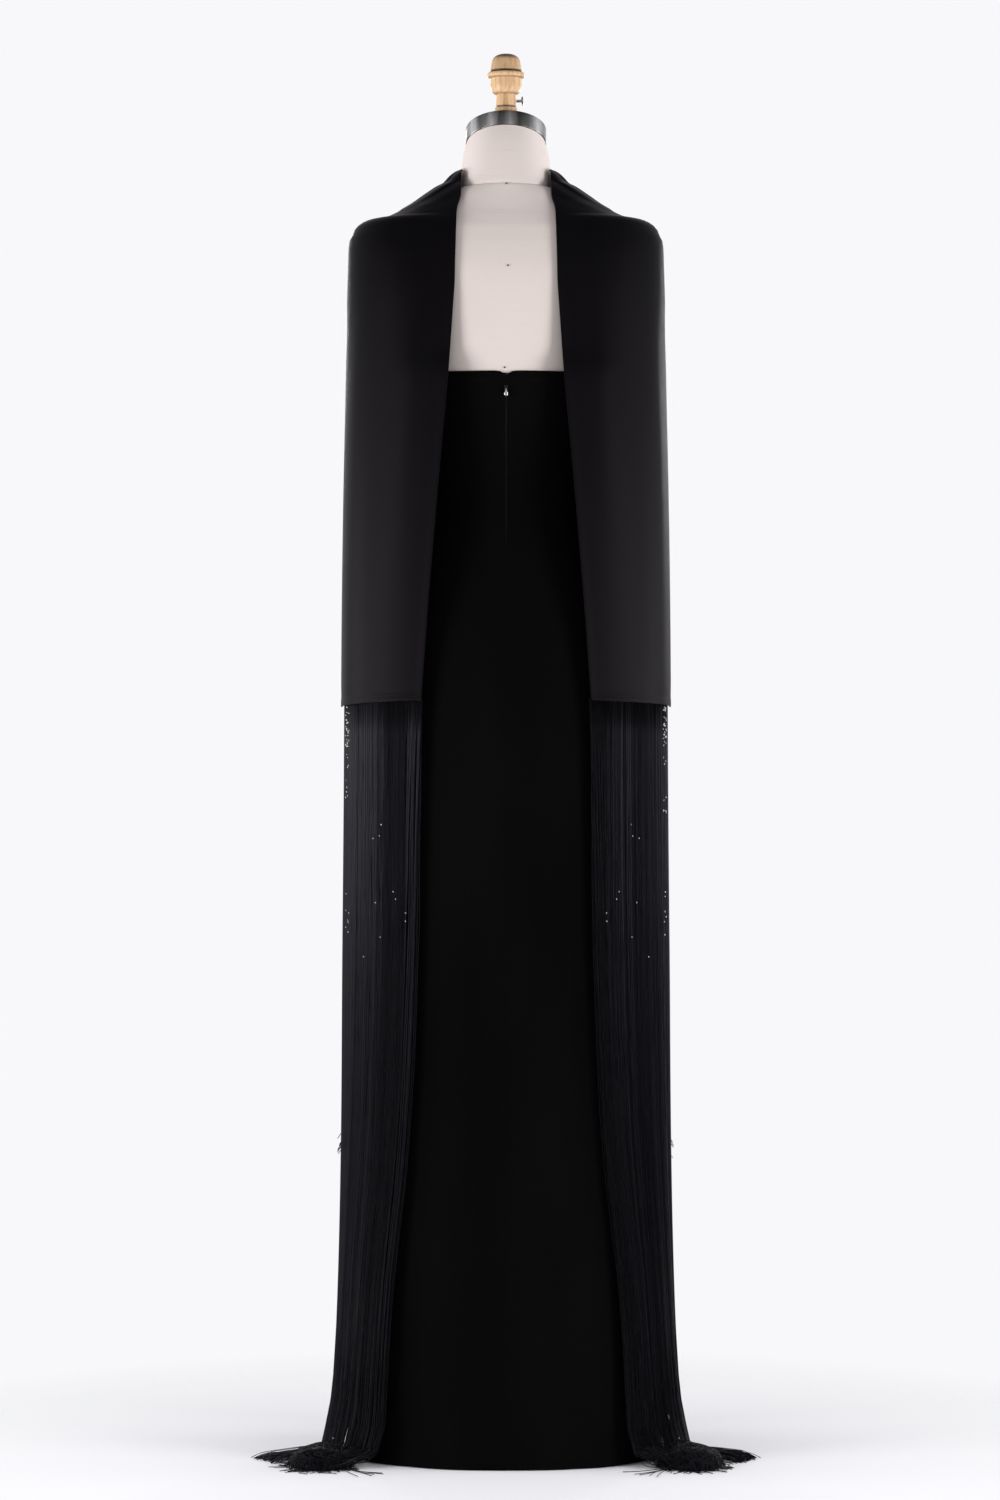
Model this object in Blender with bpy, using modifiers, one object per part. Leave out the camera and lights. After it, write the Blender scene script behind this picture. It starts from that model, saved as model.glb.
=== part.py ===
"""Evening gown with a fringed stole, worn by a limbless dress form on its stand.

Metres, +Z up. The stand's underside is centred on the origin, the wearer faces +Y and the
gown's zipped back faces -Y. Left and right are the wearer's: left is -X.
"""

import math
from collections import namedtuple

import bmesh
import bpy
from mathutils import Vector

# ---------------------------------------------------------------- driving sizes
SEAM_GAP = 0.0003        # between pieces that meet
CLOTH = 0.0015           # wall of the gown and the stole
FRINGE_WALL = 0.004      # the curtain of hanging strands
ZIP_TAPE_WALL = 0.0010

HEM_LEVEL = 0.001        # the gown brushes the floor
YOKE_LEVEL = 1.29        # above this the gown's rows run up to the shaped top edge
BACK_NECKLINE = 1.344
FRONT_NECKLINE = 1.405
STOLE_HEM_INNER = 0.9355  # the back hem dips a little towards the sides
STOLE_HEM_OUTER = 0.9260
HEAP_HEIGHT = 0.029      # fringe ends piled on the floor

ZIP_TOP = 1.336
ZIP_BOTTOM = 1.040
ZIP_TAPE_WIDTH = 0.022
SLIDER_LEVEL = 1.3205    # the pull's hinge
SLIDER_WIDTH = 0.0052
SLIDER_HEIGHT = 0.0080
SLIDER_DEPTH = 0.0012
EAR_RADIUS = 0.0012
EAR_WIDTH = 0.0011
PULL_LENGTH = 0.0105
PULL_WIDTH = 0.0056
PULL_THICKNESS = 0.0010
PULL_HEAD = 0.0006       # how far the pull reaches past its hinge

NECK_TILT = math.radians(21.5)
PLATE_RADIUS = 0.0500
PLATE_HEIGHT = 0.0174
PLATE_CENTRE = (0.0, 0.0100, 1.6458)
COLLAR_RADIUS = 0.0140
COLLAR_FOOT = 1.6480
SCREW_LEVEL = 1.6886
POLE_RADIUS = 0.0160
BASE_RADIUS = 0.1180
HUB_TOP = 0.0480
TORSO_FOOT = 0.800

# ---------------------------------------------------------------- section tables
# A section is a rounded ring: half its width, its reach to the front and to the back of the
# pole, and the power of the rounding (2 is an ellipse, more is squarer).
Section = namedtuple("Section", "level side front back power")

TORSO = [  # the dress form under the cloth, foot to neck seam
    Section(0.800, 0.1480, 0.082, 0.100, 2.2),
    Section(0.860, 0.1620, 0.093, 0.112, 2.2),
    Section(0.930, 0.1710, 0.101, 0.119, 2.2),
    Section(0.980, 0.1680, 0.103, 0.116, 2.2),
    Section(1.060, 0.1500, 0.099, 0.102, 2.2),
    Section(1.120, 0.1300, 0.093, 0.088, 2.2),
    Section(1.180, 0.1140, 0.086, 0.079, 2.2),
    Section(1.240, 0.1200, 0.097, 0.086, 2.2),
    Section(1.290, 0.1300, 0.112, 0.095, 2.2),
    Section(1.340, 0.1410, 0.123, 0.102, 2.2),
    Section(1.390, 0.1520, 0.110, 0.106, 2.2),
    Section(1.430, 0.1640, 0.098, 0.107, 2.2),
    Section(1.470, 0.1765, 0.089, 0.104, 2.3),
    Section(1.500, 0.1800, 0.082, 0.096, 2.3),
    Section(1.515, 0.1790, 0.078, 0.090, 2.3),
    Section(1.524, 0.1740, 0.076, 0.086, 2.3),
    Section(1.531, 0.1640, 0.073, 0.082, 2.2),
    Section(1.538, 0.1460, 0.070, 0.078, 2.1),
    Section(1.546, 0.1260, 0.067, 0.073, 2.1),
    Section(1.556, 0.1050, 0.063, 0.068, 2.0),
    Section(1.569, 0.0820, 0.059, 0.062, 2.0),
    Section(1.579, 0.0570, 0.056, 0.058, 2.0),
]
THROAT_DIP = 0.045       # how far the neck seam drops at the front
THROAT_DIP_FROM = 1.430  # the dip fades out down to this level

GOWN = [  # the outside of the gown, hem to above the top edge
    Section(0.001, 0.1925, 0.1345, 0.1395, 2.2),
    Section(0.120, 0.1900, 0.1320, 0.1370, 2.2),
    Section(0.300, 0.1870, 0.1290, 0.1340, 2.2),
    Section(0.500, 0.1840, 0.1260, 0.1310, 2.2),
    Section(0.700, 0.1810, 0.1200, 0.1285, 2.2),
    Section(0.820, 0.1790, 0.1145, 0.1270, 2.2),
    Section(0.930, 0.1765, 0.1090, 0.1250, 2.2),
    Section(1.000, 0.1705, 0.1090, 0.1190, 2.2),
    Section(1.060, 0.1560, 0.1050, 0.1080, 2.2),
    Section(1.120, 0.1360, 0.0990, 0.0940, 2.2),
    Section(1.180, 0.1195, 0.0925, 0.0855, 2.2),
    Section(1.240, 0.1255, 0.1035, 0.0915, 2.2),
    Section(1.290, 0.1355, 0.1180, 0.1005, 2.2),
    Section(1.340, 0.1465, 0.1290, 0.1075, 2.2),
    Section(1.390, 0.1575, 0.1160, 0.1115, 2.2),
    Section(1.430, 0.1700, 0.1040, 0.1125, 2.2),
]

MANTLE = [  # the outside of the surface that the stole lies on, hem to the side of the neck
    Section(0.920, 0.2036, 0.1265, 0.1327, 2.4),
    Section(1.065, 0.2025, 0.1260, 0.1290, 2.4),
    Section(1.200, 0.2005, 0.1255, 0.1250, 2.4),
    Section(1.340, 0.1975, 0.1245, 0.1210, 2.4),
    Section(1.400, 0.1965, 0.1215, 0.1190, 2.4),
    Section(1.450, 0.1960, 0.1110, 0.1160, 2.4),
    Section(1.490, 0.1955, 0.1000, 0.1090, 2.4),
    Section(1.503, 0.1945, 0.0960, 0.1045, 2.4),
    Section(1.515, 0.1930, 0.0925, 0.0995, 2.4),
    Section(1.524, 0.1890, 0.0885, 0.0950, 2.4),
    Section(1.530, 0.1820, 0.0860, 0.0920, 2.4),
    Section(1.534, 0.1690, 0.0830, 0.0885, 2.3),
    Section(1.538, 0.1520, 0.0800, 0.0850, 2.3),
    Section(1.544, 0.1350, 0.0770, 0.0800, 2.2),
    Section(1.553, 0.1200, 0.0740, 0.0760, 2.1),
    Section(1.563, 0.1055, 0.0700, 0.0710, 2.1),
    Section(1.574, 0.0895, 0.0665, 0.0660, 2.1),
    Section(1.584, 0.0760, 0.0640, 0.0625, 2.0),
    Section(1.593, 0.0662, 0.0620, 0.0595, 2.0),
    Section(1.602, 0.0562, 0.0600, 0.0570, 2.0),
]

STRANDS = [  # the outside of the hanging fringe, heap to stole hem
    Section(0.000, 0.2330, 0.1500, 0.1600, 2.4),
    Section(0.040, 0.2240, 0.1460, 0.1545, 2.4),
    Section(0.080, 0.2170, 0.1420, 0.1500, 2.4),
    Section(0.140, 0.2132, 0.1380, 0.1460, 2.4),
    Section(0.220, 0.2100, 0.1350, 0.1425, 2.4),
    Section(0.320, 0.2075, 0.1325, 0.1390, 2.4),
    Section(0.440, 0.2058, 0.1305, 0.1360, 2.4),
    Section(0.600, 0.2048, 0.1290, 0.1335, 2.4),
    Section(0.800, 0.2030, 0.1270, 0.1320, 2.4),
    Section(0.930, 0.2020, 0.1255, 0.1310, 2.4),
]

# The stole's length is told in rows, from its back hem over the shoulder to the centre front.
# A row runs across the cloth, from the neck edge to the outer edge. Angles go round the body
# from the centre back, so 90 is the side and 180 the centre front.
StoleRow = namedtuple("StoleRow", "neck_angle neck_level outer_angle outer_level")
STOLE = [
    StoleRow(25.9, STOLE_HEM_INNER, 93.0, STOLE_HEM_OUTER),
    StoleRow(23.8, 1.065, 93.0, 1.065),
    StoleRow(20.5, 1.200, 93.0, 1.190),
    StoleRow(16.9, 1.344, 93.0, 1.300),
    StoleRow(14.9, 1.450, 93.0, 1.350),
    StoleRow(14.8, 1.510, 94.0, 1.375),
    StoleRow(21.4, 1.541, 95.0, 1.390),
    StoleRow(34.0, 1.565, 97.0, 1.400),
    StoleRow(43.5, 1.577, 99.0, 1.405),
    StoleRow(59.0, 1.590, 101.0, 1.410),
    StoleRow(86.0, 1.602, 104.0, 1.415),
    StoleRow(120.0, 1.596, 118.0, 1.420),
    StoleRow(136.0, 1.580, 133.0, 1.420),
    StoleRow(151.0, 1.558, 149.0, 1.415),
    StoleRow(166.0, 1.541, 165.0, 1.410),
    StoleRow(180.0, 1.535, 180.0, 1.408),
]
SHOULDER_ROW = 10        # where the stole crosses the shoulder
CENTRE_ROW = len(STOLE) - 1
FOLD_FADE_ROWS = 2.5     # the front folds die away over these rows before the shoulder

# Folds across the front of the stole: where each crest lies from neck edge (0) to outer edge
# (1), how far it stands out, and half its width.
Fold = namedtuple("Fold", "place height half_width")
FRONT_FOLDS = [
    Fold(0.02, 0.0050, 0.08),
    Fold(0.27, 0.0080, 0.10),
    Fold(0.53, 0.0060, 0.09),
    Fold(0.79, 0.0075, 0.11),
]

# The fringe's edges at each level: how far the inner edge is from the centre back line, and
# how far the outer edge stands in front of the side line.
FringeEdge = namedtuple("FringeEdge", "level inner_x outer_y")
FRINGE_EDGES = [
    FringeEdge(0.000, 0.148, 0.030),
    FringeEdge(0.100, 0.147, 0.026),
    FringeEdge(0.220, 0.143, 0.020),
    FringeEdge(0.390, 0.124, 0.015),
    FringeEdge(0.600, 0.109, 0.011),
    FringeEdge(0.800, 0.104, 0.009),
    FringeEdge(0.930, 0.103, 0.008),
]

# The heap of fringe ends on the floor, from under the curtain out to the last tips. It
# spreads behind, where the tips lie, and thins out quickly at the sides.
HeapRing = namedtuple("HeapRing", "side front back power side_height back_height")
HEAP = [
    HeapRing(0.2140, 0.138, 0.146, 2.4, 0.022, 0.018),
    HeapRing(0.2265, 0.146, 0.157, 2.4, HEAP_HEIGHT, HEAP_HEIGHT),
    HeapRing(0.2440, 0.152, 0.169, 2.5, 0.016, 0.024),
    HeapRing(0.2620, 0.158, 0.181, 2.7, 0.006, 0.017),
    HeapRing(0.2840, 0.163, 0.192, 2.8, 0.003, 0.010),
    HeapRing(0.3040, 0.166, 0.201, 2.9, 0.002, 0.003),
]
HEAP_FROM_ANGLE = 33.0
HEAP_TO_ANGLE = 100.0
HEAP_SIDE_ANGLE = 85.0

NeckRow = namedtuple("NeckRow", "level side centre_y depth dip slope")
NECK = [  # from the neck seam to the plate
    NeckRow(1.5793, 0.0560, 0.0000, 0.0575, THROAT_DIP, 0.0),
    NeckRow(1.5900, 0.0550, 0.0010, 0.0560, 0.032, 0.08),
    NeckRow(1.6060, 0.0536, 0.0030, 0.0540, 0.016, 0.20),
    NeckRow(1.6220, 0.0512, 0.0050, 0.0515, 0.005, 0.30),
    NeckRow(1.6362, 0.0485, 0.0070, 0.0488, 0.000, math.tan(NECK_TILT)),
]

# Turned profiles as (radius, level), down the outer side.
FINIAL_CAP = [
    (0.0000, 1.7475), (0.0070, 1.7470), (0.0125, 1.7450), (0.0160, 1.7420),
    (0.0178, 1.7380), (0.0186, 1.7330), (0.0196, 1.7262), (0.0190, 1.7250),
    (0.0000, 1.7250),
]
FINIAL_STEM = [
    (0.0000, 1.7247), (0.0192, 1.7247), (0.0222, 1.7236), (0.0236, 1.7212),
    (0.0228, 1.7184), (0.0196, 1.7166), (0.0197, 1.7110), (0.0192, 1.7055),
    (0.0174, 1.7003), (0.0141, 1.6972), (0.0120, 1.6962), (0.0127, 1.6818),
    (0.0121, 1.6812), (0.0140, 1.6800), (COLLAR_RADIUS, 1.6780),
    (COLLAR_RADIUS, COLLAR_FOOT), (0.0000, COLLAR_FOOT),
]
STAND_BASE = [
    (0.0000, HUB_TOP), (0.0215, HUB_TOP), (0.0240, HUB_TOP - 0.0025), (0.0240, 0.0280),
    (0.0330, 0.0180), (0.1100, 0.0120), (0.1165, 0.0100), (BASE_RADIUS, 0.0070),
    (BASE_RADIUS, 0.0000), (0.0000, 0.0000),
]
# The thumb screw, as (radius, distance out from the collar's centre line).
THUMB_SCREW = [
    (0.0000, 0.0216), (0.0046, 0.0216), (0.0054, 0.0210), (0.0054, 0.0196),
    (0.0046, 0.0190), (0.0020, 0.0190), (0.0018, 0.0185), (0.0018, 0.0128),
    (0.0000, 0.0128),
]


# ---------------------------------------------------------------- small mathematics
def column(table, name, level):
    """The named column of a table at a level, on a smooth curve through its rows."""
    levels = [row.level for row in table]
    values = [getattr(row, name) for row in table]
    last = len(table) - 1
    if level <= levels[0]:
        return values[0]
    if level >= levels[last]:
        return values[last]
    i = max(k for k in range(last) if levels[k] <= level)

    def slope(k):
        low, high = max(k - 1, 0), min(k + 1, last)
        return (values[high] - values[low]) / (levels[high] - levels[low])

    width = levels[i + 1] - levels[i]
    t = (level - levels[i]) / width
    rise = t * t * (3 - 2 * t)
    start = t * (1 - t) ** 2 * width * slope(i)
    end = t * t * (t - 1) * width * slope(i + 1)
    return values[i] + (values[i + 1] - values[i]) * rise + start + end


def ring_point(side, front, back, power, angle, inset=0.0):
    """A point on a rounded ring; the angle, in degrees, goes from the centre back round the left."""
    a = math.radians(angle)
    across, along = math.sin(a), -math.cos(a)
    reach = (front if along > 0 else back) - inset
    x = -(side - inset) * math.copysign(abs(across) ** (2 / power), across)
    y = reach * math.copysign(abs(along) ** (2 / power), along)
    return x, y


def on_sections(table, angle, level, inset=0.0):
    """A point on a table's surface."""
    size = [column(table, name, level) for name in ("side", "front", "back", "power")]
    x, y = ring_point(*size, angle, inset)
    return Vector((x, y, level))


def blend(low, high, share):
    return low + (high - low) * share


def smooth_step(share):
    share = min(1.0, max(0.0, share))
    return share * share * (3 - 2 * share)


# ---------------------------------------------------------------- Blender helpers
def material(name, colour, roughness, metallic=0.0):
    made = bpy.data.materials.new(name)
    made.use_nodes = True
    shader = made.node_tree.nodes["Principled BSDF"]
    shader.inputs["Base Color"].default_value = (*colour, 1.0)
    shader.inputs["Roughness"].default_value = roughness
    shader.inputs["Metallic"].default_value = metallic
    return made


def add_object(name, mesh, finish, smooth=True):
    mesh.materials.append(finish)
    if smooth:
        mesh.shade_smooth()
        mesh.set_sharp_from_angle(angle=math.radians(40))
    made = bpy.data.objects.new(name, mesh)
    GOWN_COLLECTION.objects.link(made)
    return made


def from_bmesh(name, shape, finish, smooth=True):
    mesh = bpy.data.meshes.new(name)
    shape.to_mesh(mesh)
    shape.free()
    return add_object(name, mesh, finish, smooth)


def sheet(name, columns, rows, place, thickness, finish, flip=False):
    """A wall of cloth: a grid laid on place(u, v) and thickened outwards."""
    shape = bmesh.new()
    bmesh.ops.create_grid(shape, x_segments=columns, y_segments=rows, size=0.5)
    for vertex in shape.verts:
        vertex.co = place(vertex.co.x + 0.5, vertex.co.y + 0.5)
    if flip:
        bmesh.ops.reverse_faces(shape, faces=shape.faces)
    made = from_bmesh(name, shape, finish)
    wall = made.modifiers.new("Wall", "SOLIDIFY")
    wall.thickness = thickness
    wall.offset = 1.0
    wall.use_even_offset = True
    return made


def lofted(name, rings, segments, place, finish):
    """A closed solid through rings: place(ring, angle) gives each point, or an axis point at None."""
    shape = bmesh.new()
    bmesh.ops.create_uvsphere(shape, u_segments=segments, v_segments=rings + 1, radius=1.0)
    for vertex in shape.verts:
        x, y, z = vertex.co
        ring = round((1 - math.acos(max(-1.0, min(1.0, z))) / math.pi) * (rings + 1)) - 1
        on_axis = ring < 0 or ring >= rings
        ring = min(max(ring, 0), rings - 1)
        vertex.co = place(ring, None if on_axis else math.degrees(math.atan2(-x, -y)))
    return from_bmesh(name, shape, finish)


def turned(name, profile, steps, finish):
    """A solid of revolution about Z from (radius, level) pairs that run down its outer side."""
    mesh = bpy.data.meshes.new(name)
    points = [(radius, 0.0, level) for radius, level in profile]
    mesh.from_pydata(points, [(i, i + 1) for i in range(len(points) - 1)], [])
    made = add_object(name, mesh, finish, smooth=False)
    screw = made.modifiers.new("Turn", "SCREW")
    screw.steps = steps
    screw.render_steps = steps
    screw.use_merge_vertices = True
    screw.merge_threshold = 0.00001
    return made


# ---------------------------------------------------------------- the gown
def gown_top(angle):
    """The level of the top edge: straight across the back, rising to the front."""
    from_back = min(abs(angle), 360 - abs(angle))
    return blend(BACK_NECKLINE, FRONT_NECKLINE, smooth_step((from_back - 72) / 70))


GOWN_ROWS = [row.level for row in GOWN if row.level < YOKE_LEVEL]
BACK_COLUMNS = 12
FRONT_SEAM = 149.0       # the seam over the bust that shapes the front, as an angle


def gown_level(share, angle):
    """Rows follow the section table up to the yoke and then fan out to the top edge."""
    step = share * (len(GOWN_ROWS) + 3)
    if step < len(GOWN_ROWS):
        low = min(int(step), len(GOWN_ROWS) - 1)
        high = GOWN_ROWS[low + 1] if low + 1 < len(GOWN_ROWS) else YOKE_LEVEL
        return blend(GOWN_ROWS[low], high, step - low)
    return blend(YOKE_LEVEL, gown_top(angle), (step - len(GOWN_ROWS)) / 3)


def gown_panel(name, columns, from_angle, to_angle, finish):
    """A panel of the gown between two seams, each drawn back by half the seam gap."""
    def place(u, v):
        trim = math.degrees(SEAM_GAP / 2 / column(GOWN, "back", YOKE_LEVEL)) * 1.6
        angle = blend(from_angle + trim, to_angle - trim, u)
        return on_sections(GOWN, angle, gown_level(v, angle), inset=CLOTH)

    sheet(name, columns, len(GOWN_ROWS) + 3, place, CLOTH, finish, flip=True)


def gown_row_levels(angle):
    rows = len(GOWN_ROWS) + 3
    return [gown_level(row / rows, angle) for row in range(rows + 1)]


def gown_skin(x, level):
    """How far back the gown's outside is beside the centre back, on its straight facets."""
    levels = gown_row_levels(0.0)
    low, high = next(pair for pair in zip(levels, levels[1:]) if level <= pair[1])
    part = (level - low) / (high - low)
    ends = []
    for angle in (0.0, 90.0 / BACK_COLUMNS):
        first, second = on_sections(GOWN, angle, low), on_sections(GOWN, angle, high)
        ends.append(first.lerp(second, part))
    return blend(ends[0].y, ends[1].y, abs(x / ends[1].x))


def make_gown(crepe, sequins):
    gown_panel("gown_side_front_left", 8, 90.0, FRONT_SEAM, sequins)
    gown_panel("gown_front", 8, FRONT_SEAM, 360.0 - FRONT_SEAM, sequins)
    gown_panel("gown_side_front_right", 8, 360.0 - FRONT_SEAM, 270.0, sequins)
    gown_panel("gown_back_left", BACK_COLUMNS, 0.0, 90.0, crepe)
    gown_panel("gown_back_right", BACK_COLUMNS, -90.0, 0.0, crepe)


# ---------------------------------------------------------------- the zip
def make_zip(crepe, metal):
    """An invisible zip: its tape behind the seam, its slider and pull outside the back."""
    levels = [ZIP_BOTTOM, *(z for z in gown_row_levels(0.0) if ZIP_BOTTOM < z < ZIP_TOP), ZIP_TOP]

    def tape_place(u, v):
        level = levels[round(v * (len(levels) - 1))]
        x = ZIP_TAPE_WIDTH * (u - 0.5)
        inside = gown_skin(abs(x), level) + CLOTH + 1.5 * SEAM_GAP + ZIP_TAPE_WALL
        return Vector((x, inside, level))

    sheet("zip_tape", 4, len(levels) - 1, tape_place, ZIP_TAPE_WALL, crepe)

    skin = gown_skin(0.0, SLIDER_LEVEL)
    hinge_y = skin - 0.0030
    body = bmesh.new()
    bmesh.ops.create_cube(body, size=1.0)
    for vertex in body.verts:
        vertex.co.x *= SLIDER_WIDTH * (1.0 if vertex.co.z > 0 else 0.72)
        vertex.co.y *= SLIDER_DEPTH
        vertex.co.z *= SLIDER_HEIGHT
    slider = from_bmesh("zip_slider", body, metal, smooth=False)
    slider.location = (0.0, skin - 2.5 * SEAM_GAP - SLIDER_DEPTH / 2, SLIDER_LEVEL)

    ears = bmesh.new()
    for side in (-1, 1):
        ear = bmesh.ops.create_cone(
            ears, cap_ends=True, segments=12, radius1=EAR_RADIUS, radius2=EAR_RADIUS,
            depth=EAR_WIDTH)["verts"]
        for vertex in ear:
            x, y, z = vertex.co
            vertex.co = (z + side * (EAR_WIDTH / 2 + 0.0011), y, -x)
            if y > 0:
                vertex.co.y += 0.0012  # the ear's root goes into the slider
    cutter = from_bmesh("zip_ears", ears, metal, smooth=False)
    cutter.location = (0.0, hinge_y, SLIDER_LEVEL)
    cutter.hide_render = True
    cutter.display_type = "WIRE"
    GOWN_COLLECTION.objects.unlink(cutter)
    HELPERS.objects.link(cutter)
    join = slider.modifiers.new("Ears", "BOOLEAN")
    join.operation = "UNION"
    join.object = cutter

    pull = bmesh.new()
    segments = 20
    bmesh.ops.create_cone(
        pull, cap_ends=True, segments=segments, radius1=0.5, radius2=0.5,
        depth=PULL_THICKNESS)
    for vertex in pull.verts:
        x, y, z = vertex.co
        along = 0.5 - y                        # 0 at the hinge, 1 at the tip
        width = PULL_WIDTH * (0.32 + 0.68 * smooth_step(along * 1.25))
        vertex.co = (x * width, -z, -along * PULL_LENGTH + PULL_HEAD)
    tab = from_bmesh("zip_pull", pull, metal, smooth=False)
    tab.location = (0.0, hinge_y, SLIDER_LEVEL)

    hook = bpy.data.curves.new("hook_and_eye", "CURVE")
    hook.dimensions = "3D"
    hook.bevel_depth = 0.00045
    hook.bevel_resolution = 1
    hook.use_fill_caps = True
    line = hook.splines.new("POLY")
    bar_level = BACK_NECKLINE - 0.0048
    bar_y = gown_skin(0.0, bar_level) - 0.00045 - SEAM_GAP
    route = [(-0.0034, 0.0012), (-0.0012, 0.0012), (0.0008, 0.0009), (0.0020, 0.0),
             (0.0008, -0.0009), (-0.0012, -0.0012), (-0.0034, -0.0012)]
    line.points.add(len(route) - 1)
    for point, (x, z) in zip(line.points, route):
        point.co = (x, bar_y, bar_level + z, 1.0)
    hook.materials.append(metal)
    GOWN_COLLECTION.objects.link(bpy.data.objects.new("hook_and_eye", hook))


# ---------------------------------------------------------------- the stole
def mantle_run():
    """How far each mantle section is from the hem, measured along the side outline."""
    run = [0.0]
    for low, high in zip(MANTLE, MANTLE[1:]):
        run.append(run[-1] + math.hypot(high.side - low.side, high.level - low.level))
    return run


MANTLE_RUN = mantle_run()


def level_to_run(level):
    for low, high, start, end in zip(MANTLE, MANTLE[1:], MANTLE_RUN, MANTLE_RUN[1:]):
        if level <= high.level:
            return blend(start, end, (level - low.level) / (high.level - low.level))
    return MANTLE_RUN[-1]


def run_to_level(run):
    for low, high, start, end in zip(MANTLE, MANTLE[1:], MANTLE_RUN, MANTLE_RUN[1:]):
        if run <= end:
            return blend(low.level, high.level, (run - start) / (end - start))
    return MANTLE[-1].level


def front_fold(row, share):
    """How far the cloth stands out from the mantle in its front folds."""
    fade = smooth_step((row - SHOULDER_ROW) / FOLD_FADE_ROWS)
    return fade * sum(
        fold.height * math.exp(-((share - fold.place) / fold.half_width) ** 2)
        for fold in FRONT_FOLDS)


def stole_point(row, share):
    """A point of the left half of the stole, on the inside of its cloth."""
    low = min(int(row), CENTRE_ROW - 1)
    part = row - low
    first, second = STOLE[low], STOLE[low + 1]
    neck_angle = blend(first.neck_angle, second.neck_angle, part)
    neck_run = level_to_run(blend(first.neck_level, second.neck_level, part))
    outer_angle = blend(first.outer_angle, second.outer_angle, part)
    outer_run = level_to_run(blend(first.outer_level, second.outer_level, part))
    angle = blend(neck_angle, outer_angle, share)
    level = run_to_level(blend(neck_run, outer_run, share))
    return on_sections(MANTLE, angle, level, inset=CLOTH - front_fold(row, share))


def mirrored(point):
    return Vector((-point.x, point.y, point.z))


def make_stole(crepe):
    gap_rows = 0.012     # 0.3 mm of the cloth's length at the shoulder
    back_rows = SHOULDER_ROW - gap_rows

    sheet("stole_left", 10, 15, lambda u, v: stole_point(v * back_rows, u),
          CLOTH, crepe, flip=True)
    sheet("stole_right", 10, 15, lambda u, v: mirrored(stole_point(v * back_rows, u)),
          CLOTH, crepe)

    def front_place(u, v):
        reach = CENTRE_ROW - SHOULDER_ROW - gap_rows
        row = CENTRE_ROW - reach * abs(2 * v - 1)
        point = stole_point(row, u)
        return point if v < 0.5 else mirrored(point)

    sheet("stole_front", 16, 16, front_place, CLOTH, crepe, flip=True)


# ---------------------------------------------------------------- the fringe
def edge_angle(side, power, x):
    """The angle at which a ring is that far from the centre line, on the back."""
    return math.degrees(math.asin((x / side) ** (power / 2)))


def fringe_point(share, level):
    side, front, back, power = (
        column(STRANDS, name, level) for name in ("side", "front", "back", "power"))
    inner = edge_angle(side, power, column(FRINGE_EDGES, "inner_x", level))
    forward = column(FRINGE_EDGES, "outer_y", level) / front
    outer = 90 + math.degrees(math.asin(forward ** (power / 2)))
    x, y = ring_point(side, front, back, power, blend(inner, outer, share), FRINGE_WALL)
    return Vector((x, y, level))


def make_fringe(strands):
    foot = HEAP_HEIGHT + 2 * SEAM_GAP

    def left_point(u, v):
        """Rows lie closer together near the floor, where the curtain spreads."""
        top = blend(STOLE_HEM_INNER, STOLE_HEM_OUTER, u) - SEAM_GAP
        return fringe_point(u, blend(foot, top, v ** 1.5))

    sheet("fringe_left", 9, 9, left_point, FRINGE_WALL, strands, flip=True)
    sheet("fringe_right", 9, 9, lambda u, v: mirrored(left_point(u, v)), FRINGE_WALL, strands)


def make_heap(name, strands, side_sign):
    """Fringe ends piled on the floor: a grid lifted off its own flat underside."""
    around, outwards = 12, len(HEAP) - 1
    shape = bmesh.new()
    bmesh.ops.create_grid(shape, x_segments=around, y_segments=outwards, size=0.5)
    heights = {}
    for vertex in shape.verts:
        angle = blend(HEAP_FROM_ANGLE, HEAP_TO_ANGLE, vertex.co.x + 0.5)
        ring = HEAP[round((vertex.co.y + 0.5) * outwards)]
        x, y = ring_point(ring.side, ring.front, ring.back, ring.power, angle)
        sideways = smooth_step((angle - HEAP_FROM_ANGLE) / (HEAP_SIDE_ANGLE - HEAP_FROM_ANGLE))
        vertex.co = (-side_sign * x, y, 0.0)
        heights[round(vertex.co.x, 6), round(y, 6)] = blend(
            ring.back_height, ring.side_height, sideways)
    top = bmesh.ops.extrude_face_region(shape, geom=shape.faces[:])
    lifted = [item for item in top["geom"] if isinstance(item, bmesh.types.BMVert)]
    for vertex in lifted:
        vertex.co.z = heights[round(vertex.co.x, 6), round(vertex.co.y, 6)]
    bmesh.ops.recalc_face_normals(shape, faces=shape.faces)
    from_bmesh(name, shape, strands, smooth=False)


# ---------------------------------------------------------------- the dress form
def torso_place(ring, angle):
    section = TORSO[ring]
    fade = smooth_step((section.level - THROAT_DIP_FROM) / (TORSO[-1].level - THROAT_DIP_FROM))
    dip = THROAT_DIP * fade ** 1.6
    if angle is None:
        return Vector((0.0, 0.0, section.level - dip * 0.3))
    x, y = ring_point(section.side, section.front, section.back, section.power, angle)
    forward = max(0.0, y / section.front)
    return Vector((x, y, section.level - dip * forward ** 2))


def neck_place(ring, angle):
    row = NECK[ring]
    if angle is None:
        return Vector((0.0, row.centre_y, row.level - row.dip * 0.3))
    a = math.radians(angle)
    y = -row.depth * math.cos(a)
    level = row.level - row.slope * y - row.dip * max(0.0, y / row.depth) ** 2
    return Vector((-row.side * math.sin(a), row.centre_y + y, level))


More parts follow.
